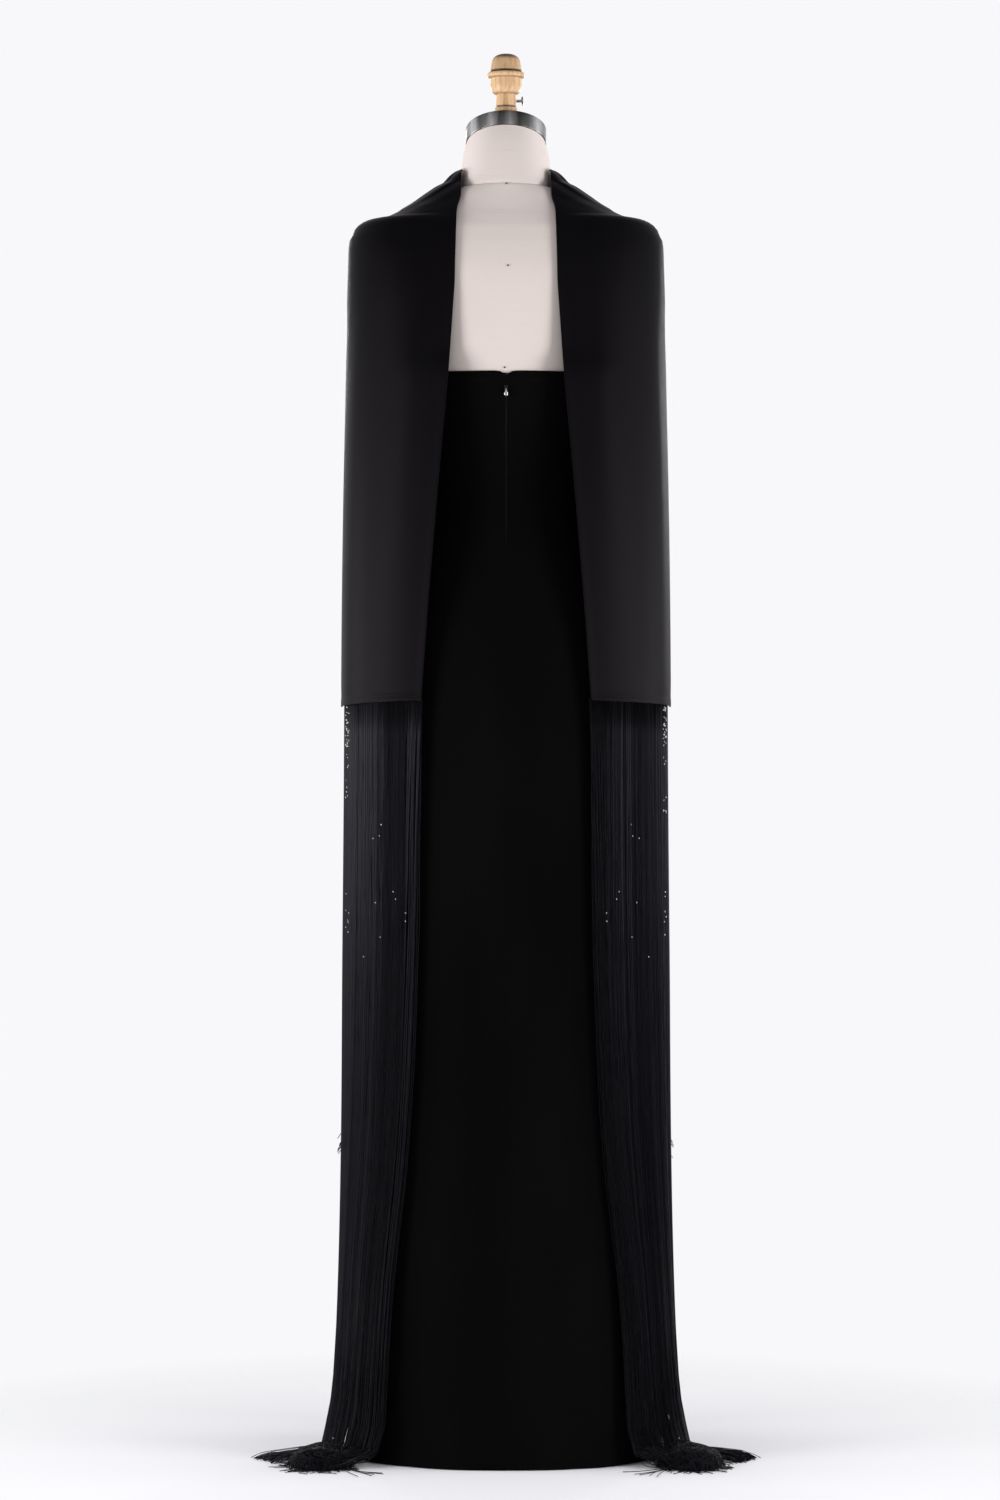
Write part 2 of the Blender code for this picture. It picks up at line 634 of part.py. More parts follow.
def make_plate(metal):
    """The neck's metal plate, tilted with the neck and bored upright for the finial."""
    shape = bmesh.new()
    bmesh.ops.create_cone(shape, cap_ends=True, segments=40, radius1=PLATE_RADIUS,
                          radius2=PLATE_RADIUS, depth=PLATE_HEIGHT)
    plate = from_bmesh("neck_plate", shape, metal)
    plate.location = PLATE_CENTRE
    plate.rotation_euler = (-NECK_TILT, 0.0, 0.0)
    edge = plate.modifiers.new("Edge", "BEVEL")
    edge.width = 0.0014
    edge.segments = 2
    edge.limit_method = "ANGLE"

    drill = bmesh.new()
    radius = COLLAR_RADIUS + SEAM_GAP
    bmesh.ops.create_cone(drill, cap_ends=True, segments=28, radius1=radius,
                          radius2=radius, depth=0.040)
    bore = from_bmesh("collar_bore", drill, metal)
    bore.location = (0.0, 0.0, COLLAR_FOOT - SEAM_GAP + 0.020)
    bore.hide_render = True
    bore.display_type = "WIRE"
    GOWN_COLLECTION.objects.unlink(bore)
    HELPERS.objects.link(bore)
    cut = plate.modifiers.new("Bore", "BOOLEAN")
    cut.operation = "DIFFERENCE"
    cut.object = bore


def make_form(linen, metal, wood, enamel):
    lofted("form_torso", len(TORSO), 28, torso_place, linen)
    lofted("form_neck", len(NECK), 28, neck_place, linen)
    make_plate(metal)
    turned("finial_stem", FINIAL_STEM, 24, wood)
    turned("finial_cap", FINIAL_CAP, 24, wood)

    screw = turned("thumb_screw", THUMB_SCREW, 16, metal)
    screw.rotation_euler = (0.0, math.radians(90), 0.0)
    screw.location = (0.0, 0.0, SCREW_LEVEL)

    pole = bmesh.new()
    length = TORSO_FOOT - HUB_TOP - 2 * SEAM_GAP
    bmesh.ops.create_cone(pole, cap_ends=True, segments=20, radius1=POLE_RADIUS,
                          radius2=POLE_RADIUS, depth=length)
    from_bmesh("stand_pole", pole, enamel).location = (0.0, 0.0, (TORSO_FOOT + HUB_TOP) / 2)
    turned("stand_base", STAND_BASE, 40, enamel)


# ---------------------------------------------------------------- build
for old in list(bpy.data.objects):
    bpy.data.objects.remove(old)

GOWN_COLLECTION = bpy.data.collections.new("Evening gown on dress form")
HELPERS = bpy.data.collections.new("Helpers")
bpy.context.scene.collection.children.link(GOWN_COLLECTION)
bpy.context.scene.collection.children.link(HELPERS)

black_crepe = material("black_crepe", (0.008, 0.008, 0.009), 0.62)
black_sequins = material("black_sequins", (0.010, 0.010, 0.014), 0.25, 0.4)
black_strands = material("black_strands", (0.009, 0.009, 0.011), 0.45)
cream_linen = material("cream_linen", (0.78, 0.70, 0.66), 0.85)
bright_steel = material("bright_steel", (0.62, 0.62, 0.64), 0.28, 1.0)
turned_beech = material("turned_beech", (0.62, 0.38, 0.18), 0.38)
black_enamel = material("black_enamel", (0.02, 0.02, 0.02), 0.40)

make_gown(black_crepe, black_sequins)
make_zip(black_crepe, bright_steel)
make_stole(black_crepe)
make_fringe(black_strands)
make_heap("fringe_heap_left", black_strands, -1)
make_heap("fringe_heap_right", black_strands, 1)
make_form(cream_linen, bright_steel, turned_beech, black_enamel)
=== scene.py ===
import math

import bmesh
import bpy
import numpy as np
from mathutils import Matrix, Vector


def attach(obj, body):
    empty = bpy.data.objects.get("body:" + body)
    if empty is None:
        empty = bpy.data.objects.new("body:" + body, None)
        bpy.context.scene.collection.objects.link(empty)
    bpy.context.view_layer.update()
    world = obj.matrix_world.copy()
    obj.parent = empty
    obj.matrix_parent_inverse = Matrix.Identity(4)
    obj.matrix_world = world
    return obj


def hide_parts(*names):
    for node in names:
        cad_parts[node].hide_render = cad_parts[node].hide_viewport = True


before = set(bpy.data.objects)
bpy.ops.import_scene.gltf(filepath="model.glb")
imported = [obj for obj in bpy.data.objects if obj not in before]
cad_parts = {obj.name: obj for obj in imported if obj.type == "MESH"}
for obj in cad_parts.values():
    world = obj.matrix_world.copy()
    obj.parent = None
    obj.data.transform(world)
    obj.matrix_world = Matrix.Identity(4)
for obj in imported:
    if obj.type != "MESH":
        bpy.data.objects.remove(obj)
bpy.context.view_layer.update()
onForm = "dressed_form"  # the body that carries all the cloth
print("frame loaded")


# Lengths are in metres. Angles are in degrees and go round from the centre back: 90 is the
# wearer's left side, 180 the centre front.
def column(table, place, level):  # a table's column on a smooth curve through its rows
    levels, values = table[:, 0], table[:, place]
    level = np.clip(np.asarray(level, float), levels[0], levels[-1])
    low = np.clip(np.searchsorted(levels, level, side="right") - 1, 0, len(levels) - 2)
    slopes = np.empty(len(levels))
    slopes[1:-1] = (values[2:] - values[:-2]) / (levels[2:] - levels[:-2])
    slopes[0] = (values[1] - values[0]) / (levels[1] - levels[0])
    slopes[-1] = (values[-1] - values[-2]) / (levels[-1] - levels[-2])
    width = levels[low + 1] - levels[low]
    t = (level - levels[low]) / width
    return (values[low] + (values[low + 1] - values[low]) * (t * t * (3 - 2 * t))
            + t * (1 - t) ** 2 * width * slopes[low]
            + t * t * (t - 1) * width * slopes[low + 1])


def columns(table, places, level):
    return [column(table, place, level) for place in places]


def ringPoint(side, front, back, power, angle, inset=0.0):  # a rounded oblong, seen from above
    a = np.radians(angle)
    across, along = np.sin(a), -np.cos(a)
    reach = np.where(along > 0, front, back) - inset
    x = -(side - inset) * np.sign(across) * np.abs(across) ** (2 / power)
    y = reach * np.sign(along) * np.abs(along) ** (2 / power)
    return x, y


def onSections(table, angle, level, inset=0.0):  # points on a table's surface, as an array
    x, y = ringPoint(*columns(table, (1, 2, 3, 4), level), angle, inset)
    return np.stack(np.broadcast_arrays(x, y, level), axis=-1)


def runAlong(line):  # how far each point lies along a line of points
    return np.concatenate([[0], np.cumsum(np.linalg.norm(np.diff(line, axis=0), axis=1))])


def blend(low, high, share):
    return low + (high - low) * share


def smoothStep(share):
    share = np.clip(share, 0.0, 1.0)
    return share * share * (3 - 2 * share)


def bump(distance, halfWidth):  # a soft ridge, 1 at its crest
    return np.exp(-(distance / halfWidth) ** 2)


def newObject(name, mesh, finish=None):
    if finish is not None:
        mesh.materials.clear()
        mesh.materials.append(finish)
    made = bpy.data.objects.new(name, mesh)
    bpy.context.scene.collection.objects.link(made)
    return made


def shadeByAngle(mesh, degrees=38):
    mesh.shade_smooth()
    mesh.set_sharp_from_angle(angle=math.radians(degrees))


def fromShape(name, shape, finish, degrees=38):  # a bmesh made an object
    mesh = bpy.data.meshes.new(name)
    shape.to_mesh(mesh)
    shape.free()
    shadeByAngle(mesh, degrees)
    return newObject(name, mesh, finish)


def plainMesh(made, degrees=38):  # the modifiers' result becomes the object's own mesh
    result = bpy.data.meshes.new_from_object(
        made.evaluated_get(bpy.context.evaluated_depsgraph_get()))
    made.modifiers.clear()
    made.data = result
    result.name = made.name
    if degrees:
        shadeByAngle(result, degrees)
    return made


def clothUv(points):  # the cloth's own metres, across and along
    across = np.linalg.norm(np.diff(points, axis=1), axis=2)
    along = np.linalg.norm(np.diff(points, axis=0), axis=2)
    u = np.concatenate([np.zeros((len(points), 1)), np.cumsum(across, axis=1)], axis=1)
    u -= u[:, u.shape[1] // 2:u.shape[1] // 2 + 1]
    v = np.concatenate([np.zeros((1, points.shape[1])), np.cumsum(along, axis=0)], axis=0)
    return np.stack([u, v], axis=-1)


def clothShell(name, points, wall, finish, outwards=True, rim=0.0):  # rows by columns of points
    rows, across = points.shape[:2]
    index = np.arange(rows * across).reshape(rows, across)
    low, high = index[:-1], index[1:]
    quads = np.stack([low[:, :-1], low[:, 1:], high[:, 1:], high[:, :-1]], axis=-1).reshape(-1, 4)
    mesh = bpy.data.meshes.new(name)
    mesh.from_pydata(points.reshape(-1, 3).tolist(), [], quads.tolist())
    layer = mesh.uv_layers.new(name="cloth")
    uv = clothUv(points).reshape(-1, 2)[quads.ravel()]
    layer.data.foreach_set("uv", uv.astype(np.float32).ravel())
    mesh.update()
    if not outwards:
        mesh.flip_normals()
    made = newObject(name, mesh, finish)
    thick = made.modifiers.new("Wall", "SOLIDIFY")
    thick.thickness = wall
    thick.offset = -1.0
    thick.use_even_offset = False
    if rim:
        edge = made.modifiers.new("Rim", "BEVEL")
        edge.width = rim
        edge.segments = 2
        edge.limit_method = "ANGLE"
        edge.angle_limit = math.radians(60)
    return plainMesh(made, 50)


def ringedSolid(name, rings, finish, degrees=38, place=None):  # a ring of one point is a tip
    shape = bmesh.new()
    verts = [[shape.verts.new(point) for point in ring] for ring in rings]
    count = max(len(ring) for ring in verts)
    for low, high in zip(verts, verts[1:]):
        for k in range(count):
            n = (k + 1) % count
            corners = [low[k % len(low)], low[n % len(low)], high[n % len(high)], high[k % len(high)]]
            shape.faces.new(list(dict.fromkeys(corners)))
    if place is not None:
        bmesh.ops.transform(shape, matrix=place, verts=shape.verts)
    bmesh.ops.recalc_face_normals(shape, faces=shape.faces)
    return fromShape(name, shape, finish, degrees)


def turnedSolid(name, profile, steps, finish, place=None):  # (radius, level), down the outer side
    turns = [k * math.tau / steps for k in range(steps)]
    rings = [[(radius * math.cos(a), radius * math.sin(a), level)
              for a in (turns if radius else turns[:1])] for radius, level in profile]
    return ringedSolid(name, rings, finish, 32, place)


def feed(node, links):  # each named socket takes a value, a socket, or a node's first output
    for name, value in links.items():
        if isinstance(value, bpy.types.Node):
            value = value.outputs[0]
        if isinstance(value, bpy.types.NodeSocket):
            node.id_data.links.new(value, node.inputs[name])
        else:
            node.inputs[name].default_value = value


def addNode(tree, kind, links=None, stops=(), **settings):  # stops: a colour ramp's (place, hex)
    made = tree.nodes.new(kind)
    for name, value in settings.items():
        setattr(made, name, value)
    feed(made, links or {})
    if stops:
        bar = made.color_ramp.elements
        while len(bar) < len(stops):
            bar.new(0.5)
        for element, (place, code) in zip(bar, stops):
            element.position = place
            element.color = linear(code)
    return made


def pointCloud(name, points, edges=(), **values):  # bare points and edges with named values
    mesh = bpy.data.meshes.new(name)
    mesh.from_pydata(np.asarray(points).tolist(), np.asarray(edges).tolist(), [])
    for label, data in values.items():
        data = np.asarray(data, np.float32)
        kind, field = ("FLOAT_VECTOR", "vector") if data.ndim == 2 else ("FLOAT", "value")
        mesh.attributes.new(label, kind, "POINT").data.foreach_set(field, data.ravel())
    return newObject(name, mesh)


# Grows a piece on a cloud of points with a Geometry Nodes tree. Its sizes are named inputs, what
# layOut adds is made real and given its finish, and the result is kept as a plain mesh.
def grow(cloud, treeName, sizes, layOut, finish, degrees=38):
    tree = bpy.data.node_groups.new(treeName, "GeometryNodeTree")
    tree.interface.new_socket("Geometry", in_out="INPUT", socket_type="NodeSocketGeometry")
    for label, value in sizes.items():
        kind = "NodeSocketInt" if isinstance(value, int) else "NodeSocketFloat"
        tree.interface.new_socket(label, in_out="INPUT", socket_type=kind).default_value = value
    tree.interface.new_socket("Geometry", in_out="OUTPUT", socket_type="NodeSocketGeometry")
    given = tree.nodes.new("NodeGroupInput").outputs
    real = addNode(tree, "GeometryNodeRealizeInstances", {"Geometry": layOut(tree, given)})
    coated = addNode(tree, "GeometryNodeSetMaterial", {"Geometry": real, "Material": finish})
    addNode(tree, "NodeGroupOutput", {"Geometry": coated})
    grown = cloud.modifiers.new("Grow", "NODES")
    grown.node_group = tree
    for item in tree.interface.items_tree:
        if item.name in sizes:
            grown[item.identifier] = sizes[item.name]
    plainMesh(cloud, degrees)
    if not cloud.data.materials:
        cloud.data.materials.append(finish)
    return cloud


def sweep(tree, given, smooth=False):  # the cloud's edges as tubes, for grow
    line = addNode(tree, "GeometryNodeMeshToCurve", {"Mesh": given["Geometry"]})
    if smooth:
        line = addNode(tree, "GeometryNodeCurveSplineType", {"Curve": line},
                       spline_type="CATMULL_ROM")
    section = addNode(tree, "GeometryNodeCurvePrimitiveCircle", {
        "Resolution": given["Sides"], "Radius": given["Radius"]})
    return addNode(tree, "GeometryNodeCurveToMesh", {
        "Curve": line, "Profile Curve": section, "Fill Caps": True})


def placeOnEach(tree, given, instance, attribute, scale=(1, 1, 1), turn=None, **settings):
    # an instance on each point of the cloud, its Z along the named attribute
    course = addNode(tree, "GeometryNodeInputNamedAttribute", {"Name": attribute},
                     data_type="FLOAT_VECTOR")
    facing = addNode(tree, "FunctionNodeAlignRotationToVector", {"Vector": course}, axis="Z",
                     **settings)
    if turn:
        facing = addNode(tree, "FunctionNodeRotateRotation", {
            "Rotation": facing, "Rotate By": turn}, rotation_space="LOCAL")
    return addNode(tree, "GeometryNodeInstanceOnPoints", {
        "Points": given["Geometry"], "Instance": instance, "Rotation": facing, "Scale": scale})


def linear(code):  # an sRGB hex colour as the linear values the shader takes
    parts = [int(code[i:i + 2], 16) / 255 for i in (1, 3, 5)]
    return (*[c / 12.92 if c <= 0.04045 else ((c + 0.055) / 1.055) ** 2.4 for c in parts], 1.0)


def newMaterial(name, **settings):  # a material and its shader, with the shader's own values
    made = bpy.data.materials.new(name)
    made.use_nodes = True
    shader = made.node_tree.nodes["Principled BSDF"]
    feed(shader, {label.replace("_", " "): value for label, value in settings.items()})
    return made, made.node_tree, shader


# What most finishes end in. colour is (value, stops of the ramp), rough is (value, low, high) and
# relief is (height, strength, depth).
def finishSurface(shader, colour=None, rough=None, relief=None):
    tree = shader.id_data
    if colour:
        feed(shader, {"Base Color": addNode(tree, "ShaderNodeValToRGB", {"Fac": colour[0]}, colour[1])})
    if rough:
        feed(shader, {"Roughness": addNode(tree, "ShaderNodeMapRange", {
            "Value": rough[0], "To Min": rough[1], "To Max": rough[2]})})
    if relief:
        feed(shader, {"Normal": addNode(tree, "ShaderNodeBump", {
            "Height": relief[0], "Strength": relief[1], "Distance": relief[2]})})


# In the patterns a Scale of 1000 repeats every 1 mm, and every 0.31 mm in a wave.
def makeCrepe():
    # Polyester crepe, woven from hard-twisted yarn: a fine pebbled face that drinks the light,
    # so it is near black from every side. The pebble is 1.1 mm, drawn twice its real size.
    made, tree, shader = newMaterial("woven polyester crepe", Roughness=0.95, Specular_IOR_Level=0.03)
    place = addNode(tree, "ShaderNodeTexCoord").outputs["Object"]
    pebble = addNode(tree, "ShaderNodeTexNoise", {"Vector": place, "Scale": 900.0, "Detail": 2.0})
    stretch = addNode(tree, "ShaderNodeMapping", {"Vector": place, "Scale": (9, 9, 2.5)})
    drift = addNode(tree, "ShaderNodeTexNoise", {"Vector": stretch, "Scale": 1.0, "Detail": 2.0})
    finishSurface(shader, (drift, [(0.3, "#060607"), (0.7, "#0a0a0b")]), relief=(pebble, 0.5, 0.0004))
    return made


def makeSatinCrepe():
    # Satin-backed crepe, worn satin side out: a soft lilac-grey bloom where the cloth turns
    # away, darker where it faces you. A fine steep twill runs with the cloth, drawn 2.4 mm
    # apart, about three times its real size, so that it shows.
    made, tree, shader = newMaterial("satin-backed crepe", Roughness=0.50, Specular_IOR_Level=0.05,
                                     Sheen_Weight=0.14, Sheen_Roughness=0.30,
                                     Specular_Tint=linear("#f6e8f8"), Sheen_Tint=linear("#dfd0e2"))
    cloth = addNode(tree, "ShaderNodeUVMap", uv_map="cloth")
    place = addNode(tree, "ShaderNodeTexCoord").outputs["Object"]
    slant = addNode(tree, "ShaderNodeMapping", {"Vector": cloth, "Rotation": (0, 0, 0.42)})
    twill = addNode(tree, "ShaderNodeTexWave", {"Vector": slant, "Scale": 130.0, "Distortion": 0.6,
                                                "Detail": 1.0, "Detail Scale": 3.0})
    grain = addNode(tree, "ShaderNodeTexNoise", {"Vector": place, "Scale": 700.0, "Detail": 1.0})
    stretch = addNode(tree, "ShaderNodeMapping", {"Vector": place, "Scale": (14, 14, 3)})
    bloom = addNode(tree, "ShaderNodeTexNoise", {"Vector": stretch, "Scale": 1.0, "Detail": 2.0})
    height = addNode(tree, "ShaderNodeMath", {0: twill.outputs["Fac"], 1: grain}, operation="ADD")
    finishSurface(shader, (bloom, [(0.3, "#070608"), (0.7, "#0b0a0c")]), (bloom, 0.45, 0.57),
                  (height, 0.22, 0.0003))
    return made


def makeRayon():
    # Chainette fringe of twisted rayon: each strand catches a thin line of light down its
    # length, and its own shade of black comes from a value on each strand: a random tone, darkened
    # with painted shade towards the curtain's inner edge. Its twist is drawn 2 mm long, twice its
    # real size.
    made, tree, shader = newMaterial("twisted rayon strand", Roughness=0.44, Specular_IOR_Level=0.10,
                                     Sheen_Weight=0.05, Sheen_Roughness=0.35,
                                     Specular_Tint=linear("#e6e4ff"))
    tone = addNode(tree, "ShaderNodeAttribute", attribute_name="strandTone").outputs["Fac"]
    place = addNode(tree, "ShaderNodeTexCoord").outputs["Object"]
    slant = addNode(tree, "ShaderNodeMapping", {"Vector": place, "Rotation": (0.6, 0, 0)})
    twist = addNode(tree, "ShaderNodeTexWave", {"Vector": slant, "Scale": 160.0, "Distortion": 1.0})
    finishSurface(shader, (tone, [(0.0, "#060609"), (0.7, "#0b0b10"), (1.0, "#15151f")]),
                  (tone, 0.46, 0.34), (twist.outputs["Fac"], 0.4, 0.0002))
    return made


def makeSequin():
    # Cupped sequins punched from glossy black film: hard glints, with a blue to violet cast
    # that differs from one to the next through the sequinTone value.
    made, tree, shader = newMaterial("punched black sequin film", Roughness=0.16, IOR=1.56,
                                     Coat_Weight=0.6, Coat_Roughness=0.08)
    tone = addNode(tree, "ShaderNodeAttribute", attribute_name="sequinTone").outputs["Fac"]
    finishSurface(shader, (tone, [(0.0, "#08080a"), (0.7, "#101018"), (0.9, "#1c1b38"),
                                  (1.0, "#2c2148")]), (tone, 0.12, 0.26))
    return made


def makeSilverSequin():
    # Silvered flat sequins, scattered on the fringe: vacuum metal on film, near mirror bright.
    made, tree, shader = newMaterial("silvered sequin film", Metallic=1.0, Roughness=0.12)
    tone = addNode(tree, "ShaderNodeAttribute", attribute_name="sequinTone").outputs["Fac"]
    finishSurface(shader, (tone, [(0.0, "#b9bcd8"), (0.6, "#e8e6f4"), (1.0, "#8f9be8")]),
                  (tone, 0.08, 0.2))
    return made


def makeNet():
    # Nylon net under the sequins: matte black, with a honeycomb 1.5 mm across.
    made, tree, shader = newMaterial("knitted nylon net", Roughness=0.85, Specular_IOR_Level=0.15)
    cloth = addNode(tree, "ShaderNodeUVMap", uv_map="cloth")
    cells = addNode(tree, "ShaderNodeTexVoronoi", {"Vector": cloth, "Scale": 650.0},
                    feature="DISTANCE_TO_EDGE").outputs["Distance"]
    finishSurface(shader, (cells, [(0.05, "#141416"), (0.3, "#060607")]), relief=(cells, 0.3, 0.0003))
    return made


def makeLinen():
    # Unbleached form linen in a tight plain weave, glued smooth over the padding. The threads
    # are 0.55 mm apart and are drawn at 1.1 mm, with a thicker slub here and there.
    made, tree, shader = newMaterial("plain-woven form linen", Roughness=0.88, Specular_IOR_Level=0.2,
                                     Sheen_Weight=0.05)
    place = addNode(tree, "ShaderNodeTexCoord").outputs["Object"]
    warp, weft = [addNode(tree, "ShaderNodeTexWave", {
        "Vector": place, "Scale": 285.0, "Distortion": 0.35, "Detail": 1.0},
        bands_direction=way).outputs["Fac"] for way in "XZ"]
    thread = addNode(tree, "ShaderNodeMath", {0: warp, 1: weft}, operation="MULTIPLY")
    stretch = addNode(tree, "ShaderNodeMapping", {"Vector": place, "Scale": (30, 30, 420)})
    slub = addNode(tree, "ShaderNodeTexNoise", {"Vector": stretch, "Scale": 1.0, "Detail": 3.0})
    drift = addNode(tree, "ShaderNodeTexNoise", {"Vector": place, "Scale": 6.0, "Detail": 2.0})
    tone = addNode(tree, "ShaderNodeValToRGB", {"Fac": drift}, [(0.3, "#ece0db"), (0.7, "#f0e5e0")])
    slubs = addNode(tree, "ShaderNodeMapRange", {
        "Value": slub, "From Min": 0.62, "From Max": 0.85, "To Max": 0.22})
    gaps = addNode(tree, "ShaderNodeMapRange", {"Value": thread, "To Min": 0.08, "To Max": 0.0})
    for share, code in ((slubs, "#d2c2b4"), (gaps, "#b8aca2")):
        tone = addNode(tree, "ShaderNodeMix", {"Factor": share, 6: tone, 7: linear(code)},
                       data_type="RGBA", blend_type="MULTIPLY").outputs[2]
    feed(shader, {"Base Color": tone})
    finishSurface(shader, relief=(thread, 0.25, 0.0003))
    return made


def makeBrushedSteelPaintedBands():
    # Cast steel, brushed up and down its rim with emery, with hairlines in it. Its base colour
    # carries painted reflections: upright dark and bright bands 5 to 12 mm wide across the plate.
    made, tree, shader = newMaterial("brushed steel with painted reflection bands", Metallic=1.0, Roughness=0.28)
    place = addNode(tree, "ShaderNodeTexCoord").outputs["Object"]
    warp, lines = [addNode(tree, "ShaderNodeTexNoise", {
        "Vector": addNode(tree, "ShaderNodeMapping", {"Vector": place, "Scale": scale}),
        "Scale": 1.0, "Detail": detail})
        for scale, detail in (((150, 150, 6), 1.0), ((1400, 1400, 30), 2.0))]
    # painted reflections: the ramp's dark and bright bands are set by place across the plate
    across = addNode(tree, "ShaderNodeSeparateXYZ", {"Vector": place}).outputs["X"]
    across = addNode(tree, "ShaderNodeMapRange", {
        "Value": across, "From Min": -0.05, "From Max": 0.05})
    warp = addNode(tree, "ShaderNodeMapRange", {"Value": warp, "To Min": -0.03, "To Max": 0.03})
    bands = addNode(tree, "ShaderNodeMath", {0: across, 1: warp}, operation="ADD")
    finishSurface(shader, (bands, [
        (0.02, "#8c8a8b"), (0.07, "#d0cecf"), (0.12, "#b9b7b8"), (0.17, "#6a6969"),
        (0.25, "#8b8989"), (0.31, "#cfcbcc"), (0.42, "#5e5c5c"), (0.48, "#6f6d6d"),
        (0.55, "#b5b1b1"), (0.66, "#4a4949"), (0.79, "#757474"), (0.84, "#a19f9f"),
        (0.90, "#d6d5d6"), (0.96, "#8e8d8d")]), (lines, 0.20, 0.38), (lines, 0.08, 0.0002))
    return made


def makeNickel():
    # Nickel-plated steel for the zip's pull and the thumb screw: bright, with fine scratches.
    made, tree, shader = newMaterial("nickel-plated steel", Metallic=1.0, Roughness=0.14)
    place = addNode(tree, "ShaderNodeTexCoord").outputs["Object"]
    scuff = addNode(tree, "ShaderNodeTexNoise", {"Vector": place, "Scale": 900.0, "Detail": 4.0})
    finishSurface(shader, (scuff, [(0.3, "#a4a4a8"), (0.7, "#c6c6ca")]), (scuff, 0.08, 0.24))
    return made


def makeLacquer():
    # Black lacquer baked on the zip's slider and the hook, so that they go under in the cloth:
    # a thin gloss that catches one small light.
    made, tree, shader = newMaterial("baked black lacquer", Roughness=0.28, Specular_IOR_Level=0.3)
    place = addNode(tree, "ShaderNodeTexCoord").outputs["Object"]
    worn = addNode(tree, "ShaderNodeTexNoise", {"Vector": place, "Scale": 600.0, "Detail": 3.0})
    finishSurface(shader, (worn, [(0.60, "#08080a"), (0.80, "#26262a")]), (worn, 0.22, 0.40))
    return made


def makeBeech():
    # Beech, turned on a lathe and varnished: honey coloured, with fine upright grain, short
    # dark flecks and a satin coat. The dome's very top is darkened with painted shade.
    made, tree, shader = newMaterial("turned varnished beech", Roughness=0.55, Coat_Weight=0.12,
                                     Coat_Roughness=0.35, Specular_IOR_Level=0.3)
    place = addNode(tree, "ShaderNodeTexCoord").outputs["Object"]
    stretch = addNode(tree, "ShaderNodeMapping", {"Vector": place, "Scale": (260, 260, 16)})
    grain = addNode(tree, "ShaderNodeTexNoise", {"Vector": stretch, "Scale": 1.0, "Detail": 4.0,
                                                 "Distortion": 0.6})
    stretch = addNode(tree, "ShaderNodeMapping", {"Vector": place, "Scale": (900, 900, 170)})
    fleck = addNode(tree, "ShaderNodeTexVoronoi", {"Vector": stretch, "Scale": 1.0})
    tone = addNode(tree, "ShaderNodeValToRGB", {"Fac": grain}, [
        (0.25, "#cc9f72"), (0.5, "#e8bf92"), (0.75, "#f4d2a8")])
    flecks = addNode(tree, "ShaderNodeMapRange", {
        "Value": fleck, "From Min": 0.05, "From Max": 0.22, "To Min": 0.45, "To Max": 0.0})
    # The whole cap is a little darker. Painted shade darkens the dome's crown, and dark lines of
    # painted shade lie in the grooves between the turned rings and at the collar's foot.
    height = addNode(tree, "ShaderNodeSeparateXYZ", {"Vector": place}).outputs["Z"]
    darkCapAndPaintedShade = addNode(tree, "ShaderNodeMapRange", {
        "Value": height, "From Min": 1.7385, "From Max": 1.7440, "To Max": 0.88})
    # the first entry darkens the whole cap a little; the rest are painted shade in the grooves
    darkCapAndGrooveShade = [addNode(tree, "ShaderNodeMapRange", {
        "Value": height, "From Min": 1.7250, "From Max": 1.7262, "To Max": 0.22})]
    for level, reach, strength in ((1.7254, 0.0026, 0.95), (1.7172, 0.0012, 0.45),
                                   (1.6972, 0.0018, 0.40), (1.6812, 0.0018, 0.85)):
        apart = addNode(tree, "ShaderNodeMath", {0: height, 1: level}, operation="SUBTRACT")
        apart = addNode(tree, "ShaderNodeMath", {0: apart}, operation="ABSOLUTE")
        darkCapAndGrooveShade.append(addNode(tree, "ShaderNodeMapRange", {
            "Value": apart, "From Min": reach * 0.3, "From Max": reach, "To Min": strength,
            "To Max": 0.0}))
    for darkening in darkCapAndGrooveShade:
        darkCapAndPaintedShade = addNode(tree, "ShaderNodeMath", {0: darkCapAndPaintedShade, 1: darkening}, operation="MAXIMUM")
    for share, code, how in ((flecks, "#8a5f38", "MULTIPLY"), (darkCapAndPaintedShade, "#48352a", "MIX")):
        tone = addNode(tree, "ShaderNodeMix", {"Factor": share, 6: tone, 7: linear(code)},
                       data_type="RGBA", blend_type=how).outputs[2]
    feed(shader, {"Base Color": tone})
    finishSurface(shader, rough=(grain, 0.30, 0.46), relief=(grain, 0.12, 0.0003))
    return made


def makeEnamel():
    # Stoved black enamel on the stand and the pins' heads: satin, with the slight orange peel
    # of sprayed paint, 2.4 mm across.
    made, tree, shader = newMaterial("stoved black enamel", Roughness=0.35, Coat_Weight=0.3)
    place = addNode(tree, "ShaderNodeTexCoord").outputs["Object"]
    peel = addNode(tree, "ShaderNodeTexNoise", {"Vector": place, "Scale": 420.0, "Detail": 2.0})
    worn = addNode(tree, "ShaderNodeTexNoise", {"Vector": place, "Scale": 24.0, "Detail": 3.0})
    finishSurface(shader, (worn, [(0.4, "#131314"), (0.75, "#1d1d1f")]), (worn, 0.28, 0.45),
                  (peel, 0.1, 0.0003))
    return made


def makeZipTape():
    # Knitted polyester zip tape and its nylon coil: black, a shade glossier than the crepe, so
    # the closed zip reads as a hair-thin paler line. Its knitted ribs are 1.6 mm apart.
    made, tree, shader = newMaterial("knitted polyester zip tape", Roughness=0.5,
                                     Specular_IOR_Level=0.4)
    place = addNode(tree, "ShaderNodeTexCoord").outputs["Object"]
    ribs = addNode(tree, "ShaderNodeTexWave", {"Vector": place, "Scale": 200.0},
                   bands_direction="Z").outputs["Fac"]
    finishSurface(shader, (ribs, [(0.2, "#1b1b1d"), (0.8, "#3a3a3e")]), relief=(ribs, 0.5, 0.0003))
    return made


